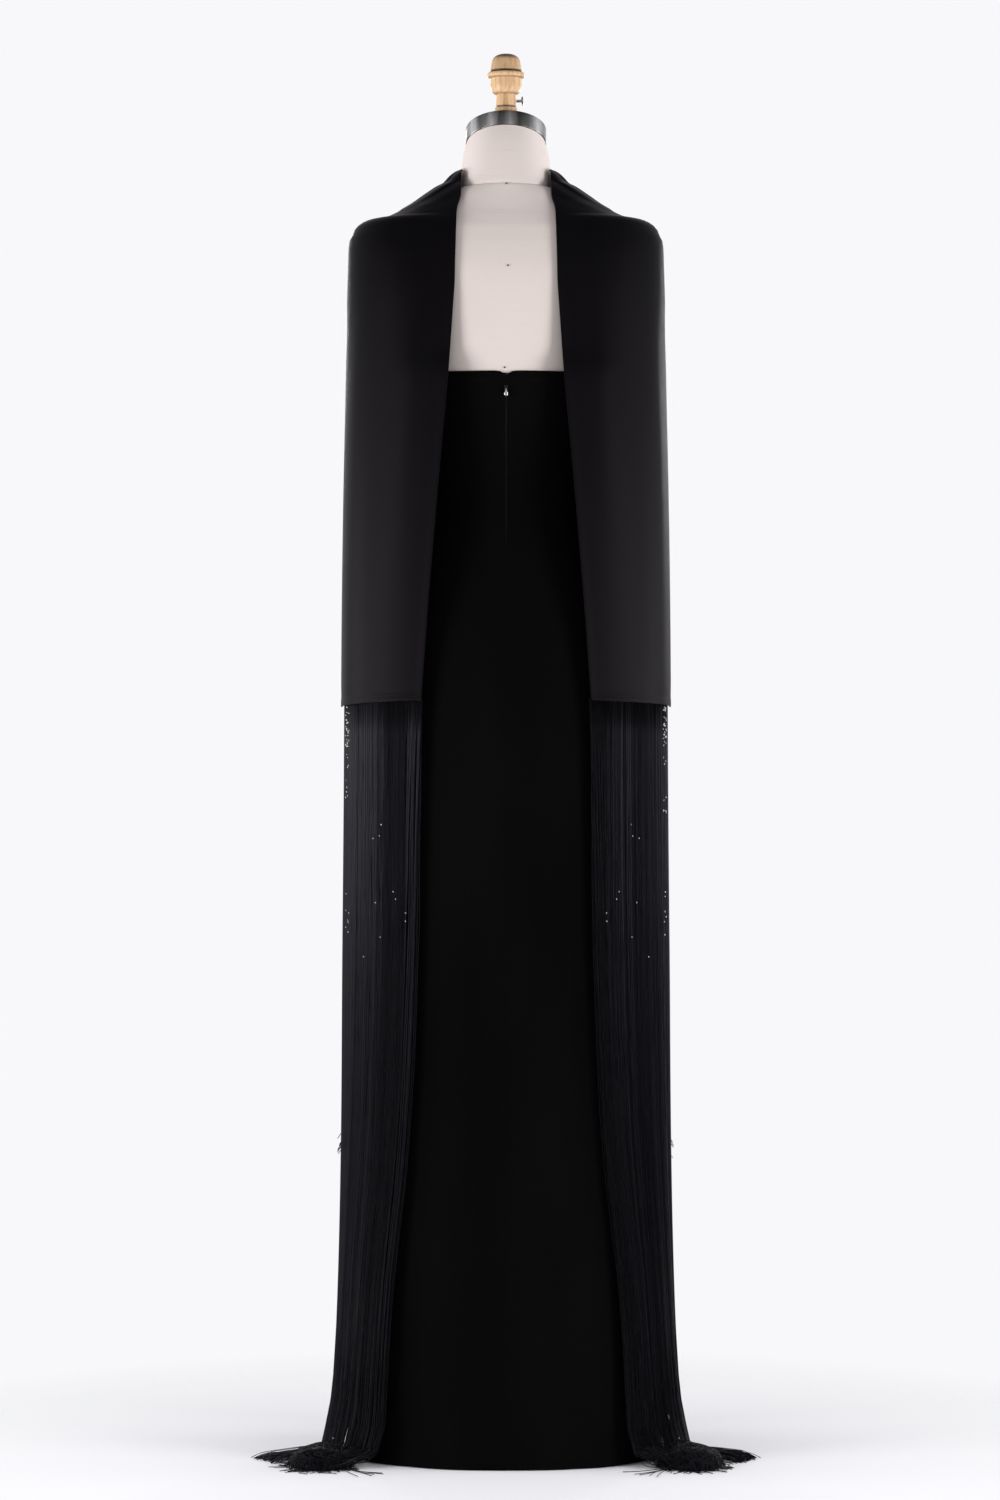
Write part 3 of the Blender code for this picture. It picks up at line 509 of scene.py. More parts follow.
def makeThread():
    # Polyester sewing thread, a little shinier than the cloth that it lies on.
    made, tree, shader = newMaterial("polyester sewing thread", Roughness=0.6, Specular_IOR_Level=0.15)
    place = addNode(tree, "ShaderNodeTexCoord").outputs["Object"]
    ply = addNode(tree, "ShaderNodeTexNoise", {"Vector": place, "Scale": 1500.0})
    finishSurface(shader, (ply, [(0.3, "#070708"), (0.7, "#0e0e10")]))
    return made


def makeFloorPaper():
    # Pale matte studio paper that fades out to the backdrop, so that no horizon shows.
    made, tree, shader = newMaterial("pale studio paper", Base_Color=linear("#eeeef2"),
                                     Roughness=0.9, Specular_IOR_Level=0.1)
    place = addNode(tree, "ShaderNodeTexCoord").outputs["Object"]
    away = addNode(tree, "ShaderNodeVectorMath", {0: place}, operation="LENGTH").outputs["Value"]
    fading = addNode(tree, "ShaderNodeMapRange", {"Value": away, "From Min": 0.30, "From Max": 0.95})
    clear = addNode(tree, "ShaderNodeBsdfTransparent")
    fade = addNode(tree, "ShaderNodeMixShader", {"Fac": fading, 1: shader, 2: clear})
    feed(tree.nodes["Material Output"], {"Surface": fade})
    return made


crepe = makeCrepe()
satin = makeSatinCrepe()
rayon = makeRayon()
sequinFilm = makeSequin()
silverFilm = makeSilverSequin()
net = makeNet()
linen = makeLinen()
brushedSteelPaintedBands = makeBrushedSteelPaintedBands()
nickel = makeNickel()
lacquer = makeLacquer()
beech = makeBeech()
enamel = makeEnamel()
zipTapeKnit = makeZipTape()
thread = makeThread()
floorPaper = makeFloorPaper()
print("materials made")


# The dress form: linen glued smooth over padding, whole and without limbs.
form = {"foot": 0.800, "top": 1.579, "throatDip": 0.045, "dipFrom": 1.430,
        "seamSink": 0.0006, "seamWidth": 0.0014,
        "footTuck": 0.0040, "footTuckWidth": 0.0030,  # the padded edge turns under
        "closerFrom": 1.49,                           # rows are closer over the shoulders
        "edgeRows": (0.0, 0.0006, 0.0012, 0.002, 0.003),  # and closest beside the neck's seam
        "capSink": 0.010, "around": 112}
torsoSections = np.array([  # level, half width, front, back, rounding
    (0.800, 0.1480, 0.082, 0.100, 2.2), (0.860, 0.1620, 0.093, 0.112, 2.2),
    (0.930, 0.1710, 0.101, 0.119, 2.2), (0.980, 0.1680, 0.103, 0.116, 2.2),
    (1.060, 0.1500, 0.099, 0.102, 2.2), (1.120, 0.1300, 0.093, 0.088, 2.2),
    (1.180, 0.1140, 0.086, 0.079, 2.2), (1.240, 0.1200, 0.097, 0.086, 2.2),
    (1.290, 0.1300, 0.112, 0.095, 2.2), (1.340, 0.1410, 0.123, 0.102, 2.2),
    (1.390, 0.1520, 0.110, 0.106, 2.2), (1.430, 0.1640, 0.098, 0.107, 2.2),
    (1.470, 0.1765, 0.089, 0.104, 2.3), (1.500, 0.1800, 0.082, 0.096, 2.3),
    (1.515, 0.1790, 0.078, 0.090, 2.3), (1.524, 0.1740, 0.076, 0.086, 2.3),
    (1.531, 0.1640, 0.073, 0.082, 2.2), (1.538, 0.1460, 0.070, 0.078, 2.1),
    (1.546, 0.1260, 0.067, 0.073, 2.1), (1.556, 0.1050, 0.063, 0.068, 2.0),
    (1.569, 0.0820, 0.059, 0.062, 2.0), (1.579, 0.0570, 0.056, 0.058, 2.0)])
neckTilt = math.radians(21.5)  # how far the neck's top and its plate lean to the front
neckRows = np.array([  # level, half width, centre, half depth, drop at the throat, slope
    (1.5793, 0.0565, 0.0000, 0.0577, 0.045, 0.0), (1.5900, 0.0561, 0.0010, 0.0566, 0.032, 0.08),
    (1.6060, 0.0553, 0.0030, 0.0552, 0.016, 0.20), (1.6200, 0.0534, 0.0050, 0.0532, 0.005, 0.30),
    (1.6336, 0.0497, 0.0070, 0.0496, 0.000, math.tan(neckTilt))])


def torsoPoint(level, angle, inset=0.0):
    fade = smoothStep((level - form["dipFrom"]) / (form["top"] - form["dipFrom"]))
    point = onSections(torsoSections, angle, level, inset)
    forward = np.maximum(0.0, point[..., 1] / column(torsoSections, 2, level))
    point[..., 2] = point[..., 2] - form["throatDip"] * fade ** 1.6 * forward ** 2
    return point


def neckPoint(level, angle, inset=0.0):
    side, centre, depth, dip, slope = columns(neckRows, (1, 2, 3, 4, 5), level)
    a = np.radians(angle)
    y = -(depth - inset) * np.cos(a)
    drop = slope * y + dip * np.maximum(0.0, y / depth) ** 2
    return np.stack([-(side - inset) * np.sin(a), centre + y, level - drop], axis=-1)


def makeTorsoAndNeck():
    angles = np.linspace(0, 360, form["around"], endpoint=False)
    edge = np.array(form["edgeRows"])
    levels = np.concatenate([np.linspace(form["foot"], form["closerFrom"], 70),
                             np.linspace(form["closerFrom"] + 0.005, form["top"] - 0.004, 36),
                             form["top"] - edge[::-1]])
    turn, level = np.meshgrid(angles, levels)
    sink = form["seamSink"] * bump(form["top"] - level, form["seamWidth"])
    sink = sink + form["footTuck"] * bump(level - form["foot"], form["footTuckWidth"])
    torso = ringedSolid("formTorso", [[(0, 0, form["foot"])], *torsoPoint(level, turn, sink),
                                      [(0, 0, form["top"] - form["capSink"])]], linen)
    low, high = neckRows[0, 0], neckRows[-1, 0]
    levels = np.concatenate([low + edge, np.linspace(low + 0.005, high, 30)])
    turn, level = np.meshgrid(angles, levels)
    sink = form["seamSink"] * bump(level - low, form["seamWidth"])
    neck = ringedSolid("formNeck", [[(0, 0, low - form["capSink"] - 0.002)],
                                    *neckPoint(level, turn, sink),
                                    [(0, neckRows[-1, 2], high)]], linen)
    return torso, neck


formTorso, formNeck = makeTorsoAndNeck()


# The gown: two crepe backs and three sequinned front panels, seam to seam.
gown = {
    "wall": 0.0015, "rim": 0.0003, "hemLevel": 0.001,
    "yokeLevel": 1.29, "yokeShare": 0.93,     # rows are level up to the yoke, then follow the top
    "backNeckline": 1.343, "frontNeckline": 1.405, "riseFrom": 72, "riseOver": 70,
    "seamTrim": -0.02,                        # degrees from a seam to its panel; below 0 they lap
    "zipTrim": 0.16, "zipBottom": 1.040, "zipCloses": 0.12,  # beside the zip, where it peeps out
    "bustSeam": 149.0,
    "seamSink": 0.0006, "seamWidth": 0.0013,  # each panel rolls in a little at its seams
    "bandDepth": 0.0145, "bandRise": 0.0005, "bandFade": 0.0012,  # the faced top edge
    "edgeRoll": 0.0006, "edgeWidth": 0.0010,  # and how it rolls over
    "notchDepth": 0.0030, "notchWidth": 0.0040,
    "leanDepth": 0.012, "leanIn": 0.0028,     # the top edge lies against the linen
    "hemSink": 0.0005, "hemHeight": 0.024, "hemWidth": 0.0012,    # the blind-stitched hem
    "backDegree": 0.0018, "sideDegree": 0.0022,  # metres in a degree, at the back and all round
    "rows": 170, "middleColumns": 36,
    "seamColumns": (0, 0.22, 0.5, 0.9, 1.4), "middleFrom": 2.2,  # degrees from a seam
    "zipParting": 0.8,                        # degrees from the zip within which the panels part
}
gownSections = np.array([  # level, half width, reach to the front, reach to the back, rounding
    (0.001, 0.1925, 0.1345, 0.1450, 2.2), (0.120, 0.1900, 0.1320, 0.1410, 2.2),
    (0.300, 0.1870, 0.1290, 0.1360, 2.2), (0.500, 0.1840, 0.1260, 0.1315, 2.2),
    (0.700, 0.1810, 0.1200, 0.1285, 2.2), (0.820, 0.1790, 0.1145, 0.1270, 2.2),
    (0.930, 0.1765, 0.1090, 0.1250, 2.2), (1.000, 0.1705, 0.1090, 0.1190, 2.2),
    (1.060, 0.1560, 0.1050, 0.1080, 2.2), (1.120, 0.1360, 0.0990, 0.0940, 2.2),
    (1.180, 0.1195, 0.0925, 0.0855, 2.2), (1.240, 0.1255, 0.1035, 0.0915, 2.2),
    (1.290, 0.1355, 0.1180, 0.1005, 2.2), (1.340, 0.1465, 0.1290, 0.1075, 2.2),
    (1.390, 0.1575, 0.1160, 0.1115, 2.2), (1.430, 0.1700, 0.1040, 0.1125, 2.2)])
skirtFolds = np.array([  # angle, half width in degrees, depth at the hem, level where it starts
    (17, 6, 0.0012, 0.80), (39, 9, -0.0020, 0.70), (58, 7, 0.0022, 0.62), (77, 8, -0.0018, 0.75),
    (104, 8, 0.0022, 0.66), (121, 6, -0.0026, 0.58), (137, 8, 0.0030, 0.72),
    (158, 6, -0.0022, 0.55), (171, 7, 0.0026, 0.66), (189, 8, -0.0020, 0.60),
    (204, 7, 0.0032, 0.70), (221, 9, -0.0024, 0.62), (240, 7, 0.0026, 0.74),
    (259, 8, -0.0018, 0.58), (285, 8, 0.0020, 0.70), (303, 8, -0.0020, 0.66),
    (324, 9, 0.0022, 0.74), (344, 6, 0.0012, 0.82)])
bodiceFolds = np.array([  # angle, half width, depth, level, half height: small drags in the cloth
    (5.6, 2.6, 0.0010, 0.985, 0.055), (354.4, 2.6, 0.0010, 0.985, 0.055),
    (62, 9, -0.0012, 1.155, 0.016), (298, 9, -0.0012, 1.150, 0.015), (100, 14, -0.0013, 1.178, 0.014),
    (260, 14, -0.0013, 1.182, 0.015), (150, 9, -0.0010, 1.270, 0.020), (210, 9, -0.0010, 1.268, 0.020),
    (118, 11, 0.0012, 1.100, 0.020), (242, 11, 0.0012, 1.096, 0.020)])


def gownTop(angle):
    fromBack = np.minimum(np.abs(angle), 360 - np.abs(angle))
    return blend(gown["backNeckline"], gown["frontNeckline"],
                 smoothStep((fromBack - gown["riseFrom"]) / gown["riseOver"]))


def gownFold(angle, level):  # how far the cloth stands off its smooth form
    turn = np.mod(angle, 360)
    out = np.zeros(np.broadcast(turn, level).shape)
    for at, halfWidth, depth, start in skirtFolds:
        out += depth * bump(turn - at, halfWidth) * smoothStep((start - level) / start) ** 0.8
    for at, halfWidth, depth, height, halfHeight in bodiceFolds:
        out += depth * bump(turn - at, halfWidth) * bump(level - height, halfHeight)
    return out


def gownSkin(angle, level, inset=0.0):
    return onSections(gownSections, angle, level, inset - gownFold(angle, level))


def gownPanel(name, start, end, finish):
    start, end = start + gown["seamTrim"], end - gown["seamTrim"]
    near = np.array(gown["seamColumns"])
    middle = np.linspace(start + gown["middleFrom"], end - gown["middleFrom"], gown["middleColumns"])
    angles = np.concatenate([start + near, middle, (end - near)[::-1]])
    fromCentre = np.abs(angles) * gown["backDegree"]
    top = gownTop(angles) - gown["notchDepth"] * smoothStep(1.25 - fromCentre / gown["notchWidth"])
    share = np.linspace(0, 1, gown["rows"] + 1)[:, None]
    straight = gown["yokeShare"]
    level = np.where(share < straight,
                     blend(gown["hemLevel"], gown["yokeLevel"], share / straight),
                     blend(gown["yokeLevel"], top[None, :], (share - straight) / (1 - straight)))
    beside = np.sign(angles) * bump(angles, gown["zipParting"])
    turn = angles[None, :] + beside[None, :] * (gown["zipTrim"] - gown["seamTrim"]) * (
        smoothStep((level - gown["zipBottom"]) / gown["zipCloses"]) ** 2)
    reach = np.minimum(turn - start, end - turn) * gown["sideDegree"]
    fromTop = top[None, :] - level
    inset = (gown["seamSink"] * bump(reach, gown["seamWidth"])
             - gown["bandRise"] * (1 - smoothStep((fromTop - gown["bandDepth"]) / gown["bandFade"]))
             + gown["edgeRoll"] * bump(fromTop, gown["edgeWidth"])
             + gown["hemSink"] * bump(level - gown["hemLevel"] - gown["hemHeight"], gown["hemWidth"])
             + gown["leanIn"] * smoothStep(1 - fromTop / gown["leanDepth"]))
    return clothShell(name, gownSkin(turn, level, inset), gown["wall"], finish, outwards=False,
                      rim=gown["rim"])


gownPanels = {name: gownPanel(name, start, end, finish) for name, start, end, finish in (
    ("gownBackLeft", 0.0, 90.0, crepe),
    ("gownBackRight", -90.0, 0.0, crepe),
    ("gownSideFrontLeft", 90.0, gown["bustSeam"], net),
    ("gownFront", gown["bustSeam"], 360 - gown["bustSeam"], net),
    ("gownSideFrontRight", 360 - gown["bustSeam"], 270.0, net))}
print("gown panels made")

# Sequins: cupped discs in half-drop rows on the net, each tipped a little its own way.
sequins = {"across": 0.0050, "rowPitch": 0.0046, "columnPitch": 0.0052, "lift": 0.0007,
           "firstRow": 0.004, "clearOfTop": 0.003, "clearOfSeam": 0.6,
           "rise": 0.10}  # they hang from their top thread, so each tips up
sequinSizes = {"Across": sequins["across"], "Cup": 0.0005, "Tip": 0.22, "Spin": math.tau,
               "Stretch": 1.0, "Facets": 8, "Seed": 11}


def sequinDiscs(tree, given):
    half = addNode(tree, "ShaderNodeMath", {0: given["Across"], 1: 0.5}, operation="MULTIPLY")
    ring = addNode(tree, "GeometryNodeMeshCircle", {"Vertices": given["Facets"], "Radius": half},
                   fill_type="TRIANGLE_FAN")
    # The fan's middle vertex is the last, and is pushed in to make the cup.
    middle = addNode(tree, "FunctionNodeCompare", {
        2: addNode(tree, "GeometryNodeInputIndex"), 3: given["Facets"]},
        data_type="INT", operation="EQUAL")
    depth, low = [addNode(tree, "ShaderNodeMath", {0: given[size], 1: -1.0}, operation="MULTIPLY")
                  for size in ("Cup", "Tip")]
    cup = addNode(tree, "GeometryNodeSetPosition", {
        "Geometry": ring, "Selection": middle,
        "Offset": addNode(tree, "ShaderNodeCombineXYZ", {"Z": depth})})
    turn = addNode(tree, "FunctionNodeRandomValue", {
        "Min": addNode(tree, "ShaderNodeCombineXYZ", {"X": low, "Y": low}),
        "Max": addNode(tree, "ShaderNodeCombineXYZ", {
            "X": given["Tip"], "Y": given["Tip"], "Z": given["Spin"]}),
        "Seed": given["Seed"]}, data_type="FLOAT_VECTOR")
    shape = addNode(tree, "ShaderNodeCombineXYZ", {"X": 1.0, "Y": given["Stretch"], "Z": 1.0})
    sewn = placeOnEach(tree, given, cup, "outward", shape, turn)
    tone = addNode(tree, "FunctionNodeRandomValue", {"Seed": given["Seed"]}, data_type="FLOAT")
    return addNode(tree, "GeometryNodeStoreNamedAttribute", {
        "Geometry": sewn, "Name": "sequinTone", "Value": tone.outputs[1]},
        data_type="FLOAT", domain="INSTANCE")


def gownFacing(angle, level):  # which way the gown faces, from points beside each place
    across = gownSkin(angle + 0.2, level) - gownSkin(angle - 0.2, level)
    along = gownSkin(angle, level + 0.001) - gownSkin(angle, level - 0.001)
    facing = np.cross(along, across)
    return facing / np.linalg.norm(facing, axis=-1, keepdims=True)


def sewSequins(name, start, end):
    angles = np.linspace(start + sequins["clearOfSeam"], end - sequins["clearOfSeam"], 160)
    pitch, places, outward = sequins["columnPitch"], [], []
    level, row = gown["hemLevel"] + sequins["firstRow"], 0
    while level < gown["frontNeckline"] - sequins["clearOfTop"]:
        run = runAlong(gownSkin(angles, np.full(angles.shape, level)))
        at = np.arange(pitch * (0.3 if row % 2 else 0.8), run[-1], pitch)  # a half-drop
        here = np.interp(at, run, angles)
        here = here[gownTop(here) > level + sequins["clearOfTop"]]
        if len(here):
            flat = np.full(here.shape, level)
            facing = gownFacing(here, flat)
            places.append(gownSkin(here, flat) + facing * sequins["lift"])
            outward.append(facing)
        level += sequins["rowPitch"]
        row += 1
    facing = np.concatenate(outward)
    facing[:, 2] += sequins["rise"]
    cloud = pointCloud(name, np.concatenate(places), outward=facing)
    return grow(cloud, "sewnSequins", sequinSizes, sequinDiscs, sequinFilm, 0)


gownSequins = {name: sewSequins(name, start, end) for name, start, end in (
    ("sequinsSideFrontLeft", 90.0, gown["bustSeam"]),
    ("sequinsFront", gown["bustSeam"], 360 - gown["bustSeam"]),
    ("sequinsSideFrontRight", 360 - gown["bustSeam"], 270.0))}
print("sequins sewn")


# The zip: knitted tape with its coil behind the seam, and the hardware outside.
zipParts = {
    "top": 1.336, "bottom": 1.040,
    "tapeWidth": 0.022, "tapeWall": 0.0008, "tapeDepth": 0.0022, "tapeBow": 0.05,
    "coilPitch": 0.0012, "coilDepth": 0.0010, "coilWidth": 0.0011, "coilThick": 0.00028,
    "coilSink": 0.0008, "coilRises": 0.010,       # it lies deeper below, where the seam closes
    "sliderLevel": 1.3205, "sliderSize": (0.0052, 0.0011, 0.0080), "sliderStand": 0.00135,
    "earSize": (0.0011, 0.0022, 0.0023), "earApart": 0.00165, "earStand": 0.0027,
    "sliderTaper": 0.72, "edge": 0.0003,
    "hingeStand": 0.0030, "pullLength": 0.0100, "pullWidth": 0.0048, "pullWall": 0.0010,
    "pullHead": 0.0006, "pullHeadShare": 0.32, "pullFlare": 1.25, "pullSteps": 40,
    "hookLevel": 1.3385, "hookDepth": 0.0008, "hookWire": 0.00045,
}
pullSection = np.array([  # share of the outline, share of the wall: the tab has a raised rim
    (0.0, -0.30), (0.80, -0.30), (0.93, -0.50), (1.0, -0.36),
    (1.0, 0.36), (0.93, 0.50), (0.80, 0.30), (0.0, 0.30)])
hookRoute = np.array([  # across, up: the wire's middle line
    (-0.0034, 0.0012), (-0.0012, 0.0012), (0.0008, 0.0009), (0.0020, 0.0),
    (0.0008, -0.0009), (-0.0012, -0.0012), (-0.0034, -0.0012)])


def backSkin(level):  # how far back the gown is at its centre seam
    return float(onSections(gownSections, 0.0, level)[1])


def coilLoops(tree, given):  # one flattened loop of the coil, repeated up the seam
    half = addNode(tree, "ShaderNodeMath", {0: given["Width"], 1: 0.5}, operation="MULTIPLY")
    spine = addNode(tree, "GeometryNodeCurvePrimitiveCircle", {"Resolution": 8, "Radius": half})
    section = addNode(tree, "GeometryNodeCurvePrimitiveCircle", {
        "Resolution": 4, "Radius": given["Thick"]})
    loop = addNode(tree, "GeometryNodeCurveToMesh", {"Curve": spine, "Profile Curve": section})
    return addNode(tree, "GeometryNodeInstanceOnPoints", {
        "Points": given["Geometry"], "Instance": loop})


def makeZipTapeAndCoil():
    levels = np.linspace(zipParts["bottom"], zipParts["top"], 60)
    across = np.linspace(-0.5, 0.5, 7) * zipParts["tapeWidth"]
    tape = np.array([[(x, backSkin(z) + zipParts["tapeDepth"] + abs(x) * zipParts["tapeBow"], z)
                      for x in across] for z in levels])
    tape = clothShell("zipTape", tape, zipParts["tapeWall"], zipTapeKnit)
    levels = np.arange(zipParts["bottom"] + 0.002, zipParts["sliderLevel"], zipParts["coilPitch"])
    closed = 1 - smoothStep((levels - gown["zipBottom"] - zipParts["coilRises"]) / gown["zipCloses"])
    depths = zipParts["coilDepth"] + zipParts["coilSink"] * closed
    cloud = pointCloud("zipCoil", [(0, backSkin(z) + depth, z) for z, depth in zip(levels, depths)])
    sizes = {"Width": zipParts["coilWidth"], "Thick": zipParts["coilThick"]}
    return tape, grow(cloud, "zipCoil", sizes, coilLoops, zipTapeKnit)


def softBox(name, size, centre, finish, lowTaper=1.0):  # a bevelled block
    shape = bmesh.new()
    bmesh.ops.create_cube(shape, size=1.0)
    for vertex in shape.verts:
        taper = 1.0 if vertex.co.z > 0 else lowTaper
        vertex.co = Vector((vertex.co.x * size[0] * taper, vertex.co.y * size[1],
                            vertex.co.z * size[2])) + Vector(centre)
    bmesh.ops.bevel(shape, geom=shape.edges[:], offset=zipParts["edge"], segments=2,
                    affect="EDGES", profile=0.7)
    return fromShape(name, shape, finish)


def joined(name, parts, degrees=38):  # several objects of one finish made one
    finish = parts[0].data.materials[0]
    shape = bmesh.new()
    for part in parts:
        shape.from_mesh(part.data)
        bpy.data.objects.remove(part)
    return fromShape(name, shape, finish, degrees)


def makeZipHardware():
    z, skin = zipParts["sliderLevel"], backSkin(zipParts["sliderLevel"])
    parts = [softBox("plate", zipParts["sliderSize"], (0, skin - zipParts["sliderStand"], z),
                     lacquer, zipParts["sliderTaper"])]
    for side in (-1, 1):
        parts.append(softBox("ear", zipParts["earSize"],
                             (side * zipParts["earApart"], skin - zipParts["earStand"], z), lacquer))
    rings = []
    for outline, wall in pullSection:  # the pull is a teardrop tab that hangs from the ears
        ring = []
        for k in range(zipParts["pullSteps"] if outline else 1):
            a = k * math.tau / zipParts["pullSteps"]
            along = 0.5 - 0.5 * math.cos(a) * outline
            flare = float(smoothStep(along * zipParts["pullFlare"]))
            width = zipParts["pullWidth"] * blend(zipParts["pullHeadShare"], 1.0, flare)
            ring.append((0.5 * math.sin(a) * outline * width,
                         skin - zipParts["hingeStand"] + wall * zipParts["pullWall"],
                         z - along * zipParts["pullLength"] + zipParts["pullHead"]))
        rings.append(ring)
    slider, pull = joined("zipSlider", parts), ringedSolid("zipPull", rings, nickel, 30)
    z, y = zipParts["hookLevel"], backSkin(zipParts["hookLevel"]) + zipParts["hookDepth"]
    route = [(x, y, z + up) for x, up in hookRoute]
    cloud = pointCloud("hookAndEye", route, [(k, k + 1) for k in range(len(route) - 1)])
    hook = grow(cloud, "bentWire", {"Radius": zipParts["hookWire"], "Sides": 8},
                lambda tree, given: sweep(tree, given, smooth=True), lacquer)
    return slider, pull, hook


zipTape, zipCoil = makeZipTapeAndCoil()
zipSlider, zipPull, hookAndEye = makeZipHardware()
print("zip made")


# The stole: one long doubled strip of satin crepe, from one back hem round the front of the
# neck to the other. Rows run along it and shares run across, neck edge 0 to outer edge 1.
stole = {
    "wall": 0.0022, "rim": 0.0005, "shoulderRow": 10.6, "centreRow": 15, "foldFadeRows": 2.5,
    "rowsPerStep": 9, "columns": 56,
    "neckRoll": 0.0007, "neckRollWidth": 0.030,   # the pressed fold along the neck edge
    "outerRoll": 0.0012, "outerRollWidth": 0.028,
    "hemSink": 0.0008, "hemDepth": 0.0030,        # narrow rolled hems
    "offLinen": 0.0028,
    "pressedFrom": 1.340, "pressedOver": 0.03, "pressedWidth": 0.36,  # neck edge, to the torso
    "pressedRows": 8.2, "pressedFade": 1.4, "pressedShare": 0.92, "pressedMost": 0.009,
    "hugRows": (7.9, 1.1), "hugFade": (10.2, 1.3),  # and to the neck, from a row over so many
    "hugWidth": 0.55, "hugDepth": 0.0045,
    "overRows": (10.0, 0.8),                        # where it turns over the shoulder
}
mantle = np.array([  # level, half width, front, back, rounding of the surface it lies on
    (0.920, 0.2036, 0.1265, 0.1327, 2.4), (1.065, 0.2025, 0.1260, 0.1290, 2.4),
    (1.200, 0.2005, 0.1255, 0.1250, 2.4), (1.340, 0.1975, 0.1245, 0.1210, 2.4),
    (1.400, 0.1965, 0.1215, 0.1190, 2.4), (1.450, 0.1960, 0.1110, 0.1160, 2.4),
    (1.490, 0.1950, 0.1000, 0.1090, 2.4), (1.503, 0.1945, 0.0960, 0.1045, 2.4),
    (1.513, 0.1930, 0.0930, 0.1003, 2.4), (1.5172, 0.1902, 0.0915, 0.0983, 2.4),
    (1.5205, 0.1888, 0.0900, 0.0967, 2.4), (1.5245, 0.1877, 0.0885, 0.0948, 2.4),
    (1.5285, 0.1846, 0.0867, 0.0926, 2.4), (1.5318, 0.1804, 0.0850, 0.0907, 2.4),
    (1.5346, 0.1750, 0.0832, 0.0890, 2.35), (1.5363, 0.1690, 0.0818, 0.0879, 2.3),
    (1.5385, 0.1533, 0.0798, 0.0865, 2.3), (1.5417, 0.1450, 0.0780, 0.0845, 2.25),
    (1.5463, 0.1356, 0.0760, 0.0815, 2.2), (1.5515, 0.1283, 0.0745, 0.0780, 2.15),
    (1.5577, 0.1179, 0.0720, 0.0742, 2.1), (1.5708, 0.0992, 0.0677, 0.0675, 2.1),
    (1.5792, 0.0867, 0.0652, 0.0643, 2.05), (1.5833, 0.0783, 0.0641, 0.0629, 2.0),
    (1.5875, 0.0742, 0.0632, 0.0615, 2.0), (1.5921, 0.0700, 0.0621, 0.0600, 2.0),
    (1.5967, 0.0638, 0.0610, 0.0585, 2.0), (1.5994, 0.0578, 0.0603, 0.0577, 2.0)])
stoleRows = np.array([  # row, neck edge's angle and level, outer edge's angle and level
    (0, 25.9, 0.9385, 93.0, 0.9315), (1, 23.8, 1.065, 93.0, 1.065), (2, 20.5, 1.200, 93.0, 1.190),
    (3, 16.9, 1.344, 93.0, 1.300), (4, 14.9, 1.450, 93.0, 1.350), (5, 14.8, 1.510, 94.0, 1.375),
    (6, 21.4, 1.541, 95.0, 1.390), (7, 34.0, 1.565, 97.0, 1.400), (8, 43.5, 1.577, 99.0, 1.405),
    (9, 59.0, 1.589, 101.0, 1.410), (10, 72.0, 1.5994, 104.0, 1.415),
    (11, 101.0, 1.596, 118.0, 1.420), (12, 125.0, 1.583, 133.0, 1.420),
    (13, 145.0, 1.561, 149.0, 1.415), (14, 163.0, 1.542, 165.0, 1.410),
    (15, 180.0, 1.535, 180.0, 1.408), (16, 197.0, 1.542, 195.0, 1.410)])
frontFolds = np.array([  # place across, height, half width
    (0.02, 0.0050, 0.08), (0.25, 0.0095, 0.09), (0.50, 0.0080, 0.08), (0.78, 0.0090, 0.10)])
softFolds = np.array([  # place across, half width, depth, row of its middle, half length in rows
    (0.36, 0.10, -0.0010, 1.6, 1.8), (0.62, 0.12, 0.0012, 0.8, 2.0), (0.20, 0.07, 0.0010, 3.2, 1.4),
    (0.48, 0.12, -0.0009, 5.4, 1.6), (0.78, 0.09, -0.0009, 3.8, 1.7), (0.86, 0.06, 0.0004, 7.8, 1.1),
    (0.15, 0.06, -0.0004, 7.0, 1.0), (0.40, 0.10, 0.0004, 9.2, 1.0)])
mantleRun = runAlong(mantle[:, :2])
mantlePath = np.column_stack([mantleRun, mantle[:, 1:], mantle[:, 0]])  # the same, by its run
neckEdge = np.array([  # level, distance from the centre line, up the back to the neck
    (0.9355, 0.1035), (1.065, 0.0943), (1.200, 0.0830), (1.344, 0.0700), (1.450, 0.0628),
    (1.510, 0.0615), (1.541, 0.0606), (1.550, 0.0596), (1.558, 0.0572), (1.564, 0.0557),
    (1.572, 0.0552), (1.590, 0.0548), (1.5994, 0.0544)])


def rowCurve(place, row):  # a column of the stole's rows on a smooth curve
    return column(stoleRows, place, row)


def fromRow(row, reach):  # 0 up to a row, and 1 so many rows on
    return smoothStep((row - reach[0]) / reach[1])


def neckPath(row):  # up the back the neck edge keeps its distance; over the shoulder it turns
    over = fromRow(row, stole["overRows"])
    level = blend(np.interp(row, stoleRows[:, 0], stoleRows[:, 2]), rowCurve(2, row), over)
    run = np.interp(level, mantle[:, 0], mantleRun)
    side, power = columns(mantlePath, (1, 4), run)
    distance = np.interp(level, neckEdge[:, 0], neckEdge[:, 1])
    kept = np.degrees(np.arcsin(np.clip(distance / side, 0, 0.9999) ** (power / 2)))
    return run, blend(kept, rowCurve(1, row), over)


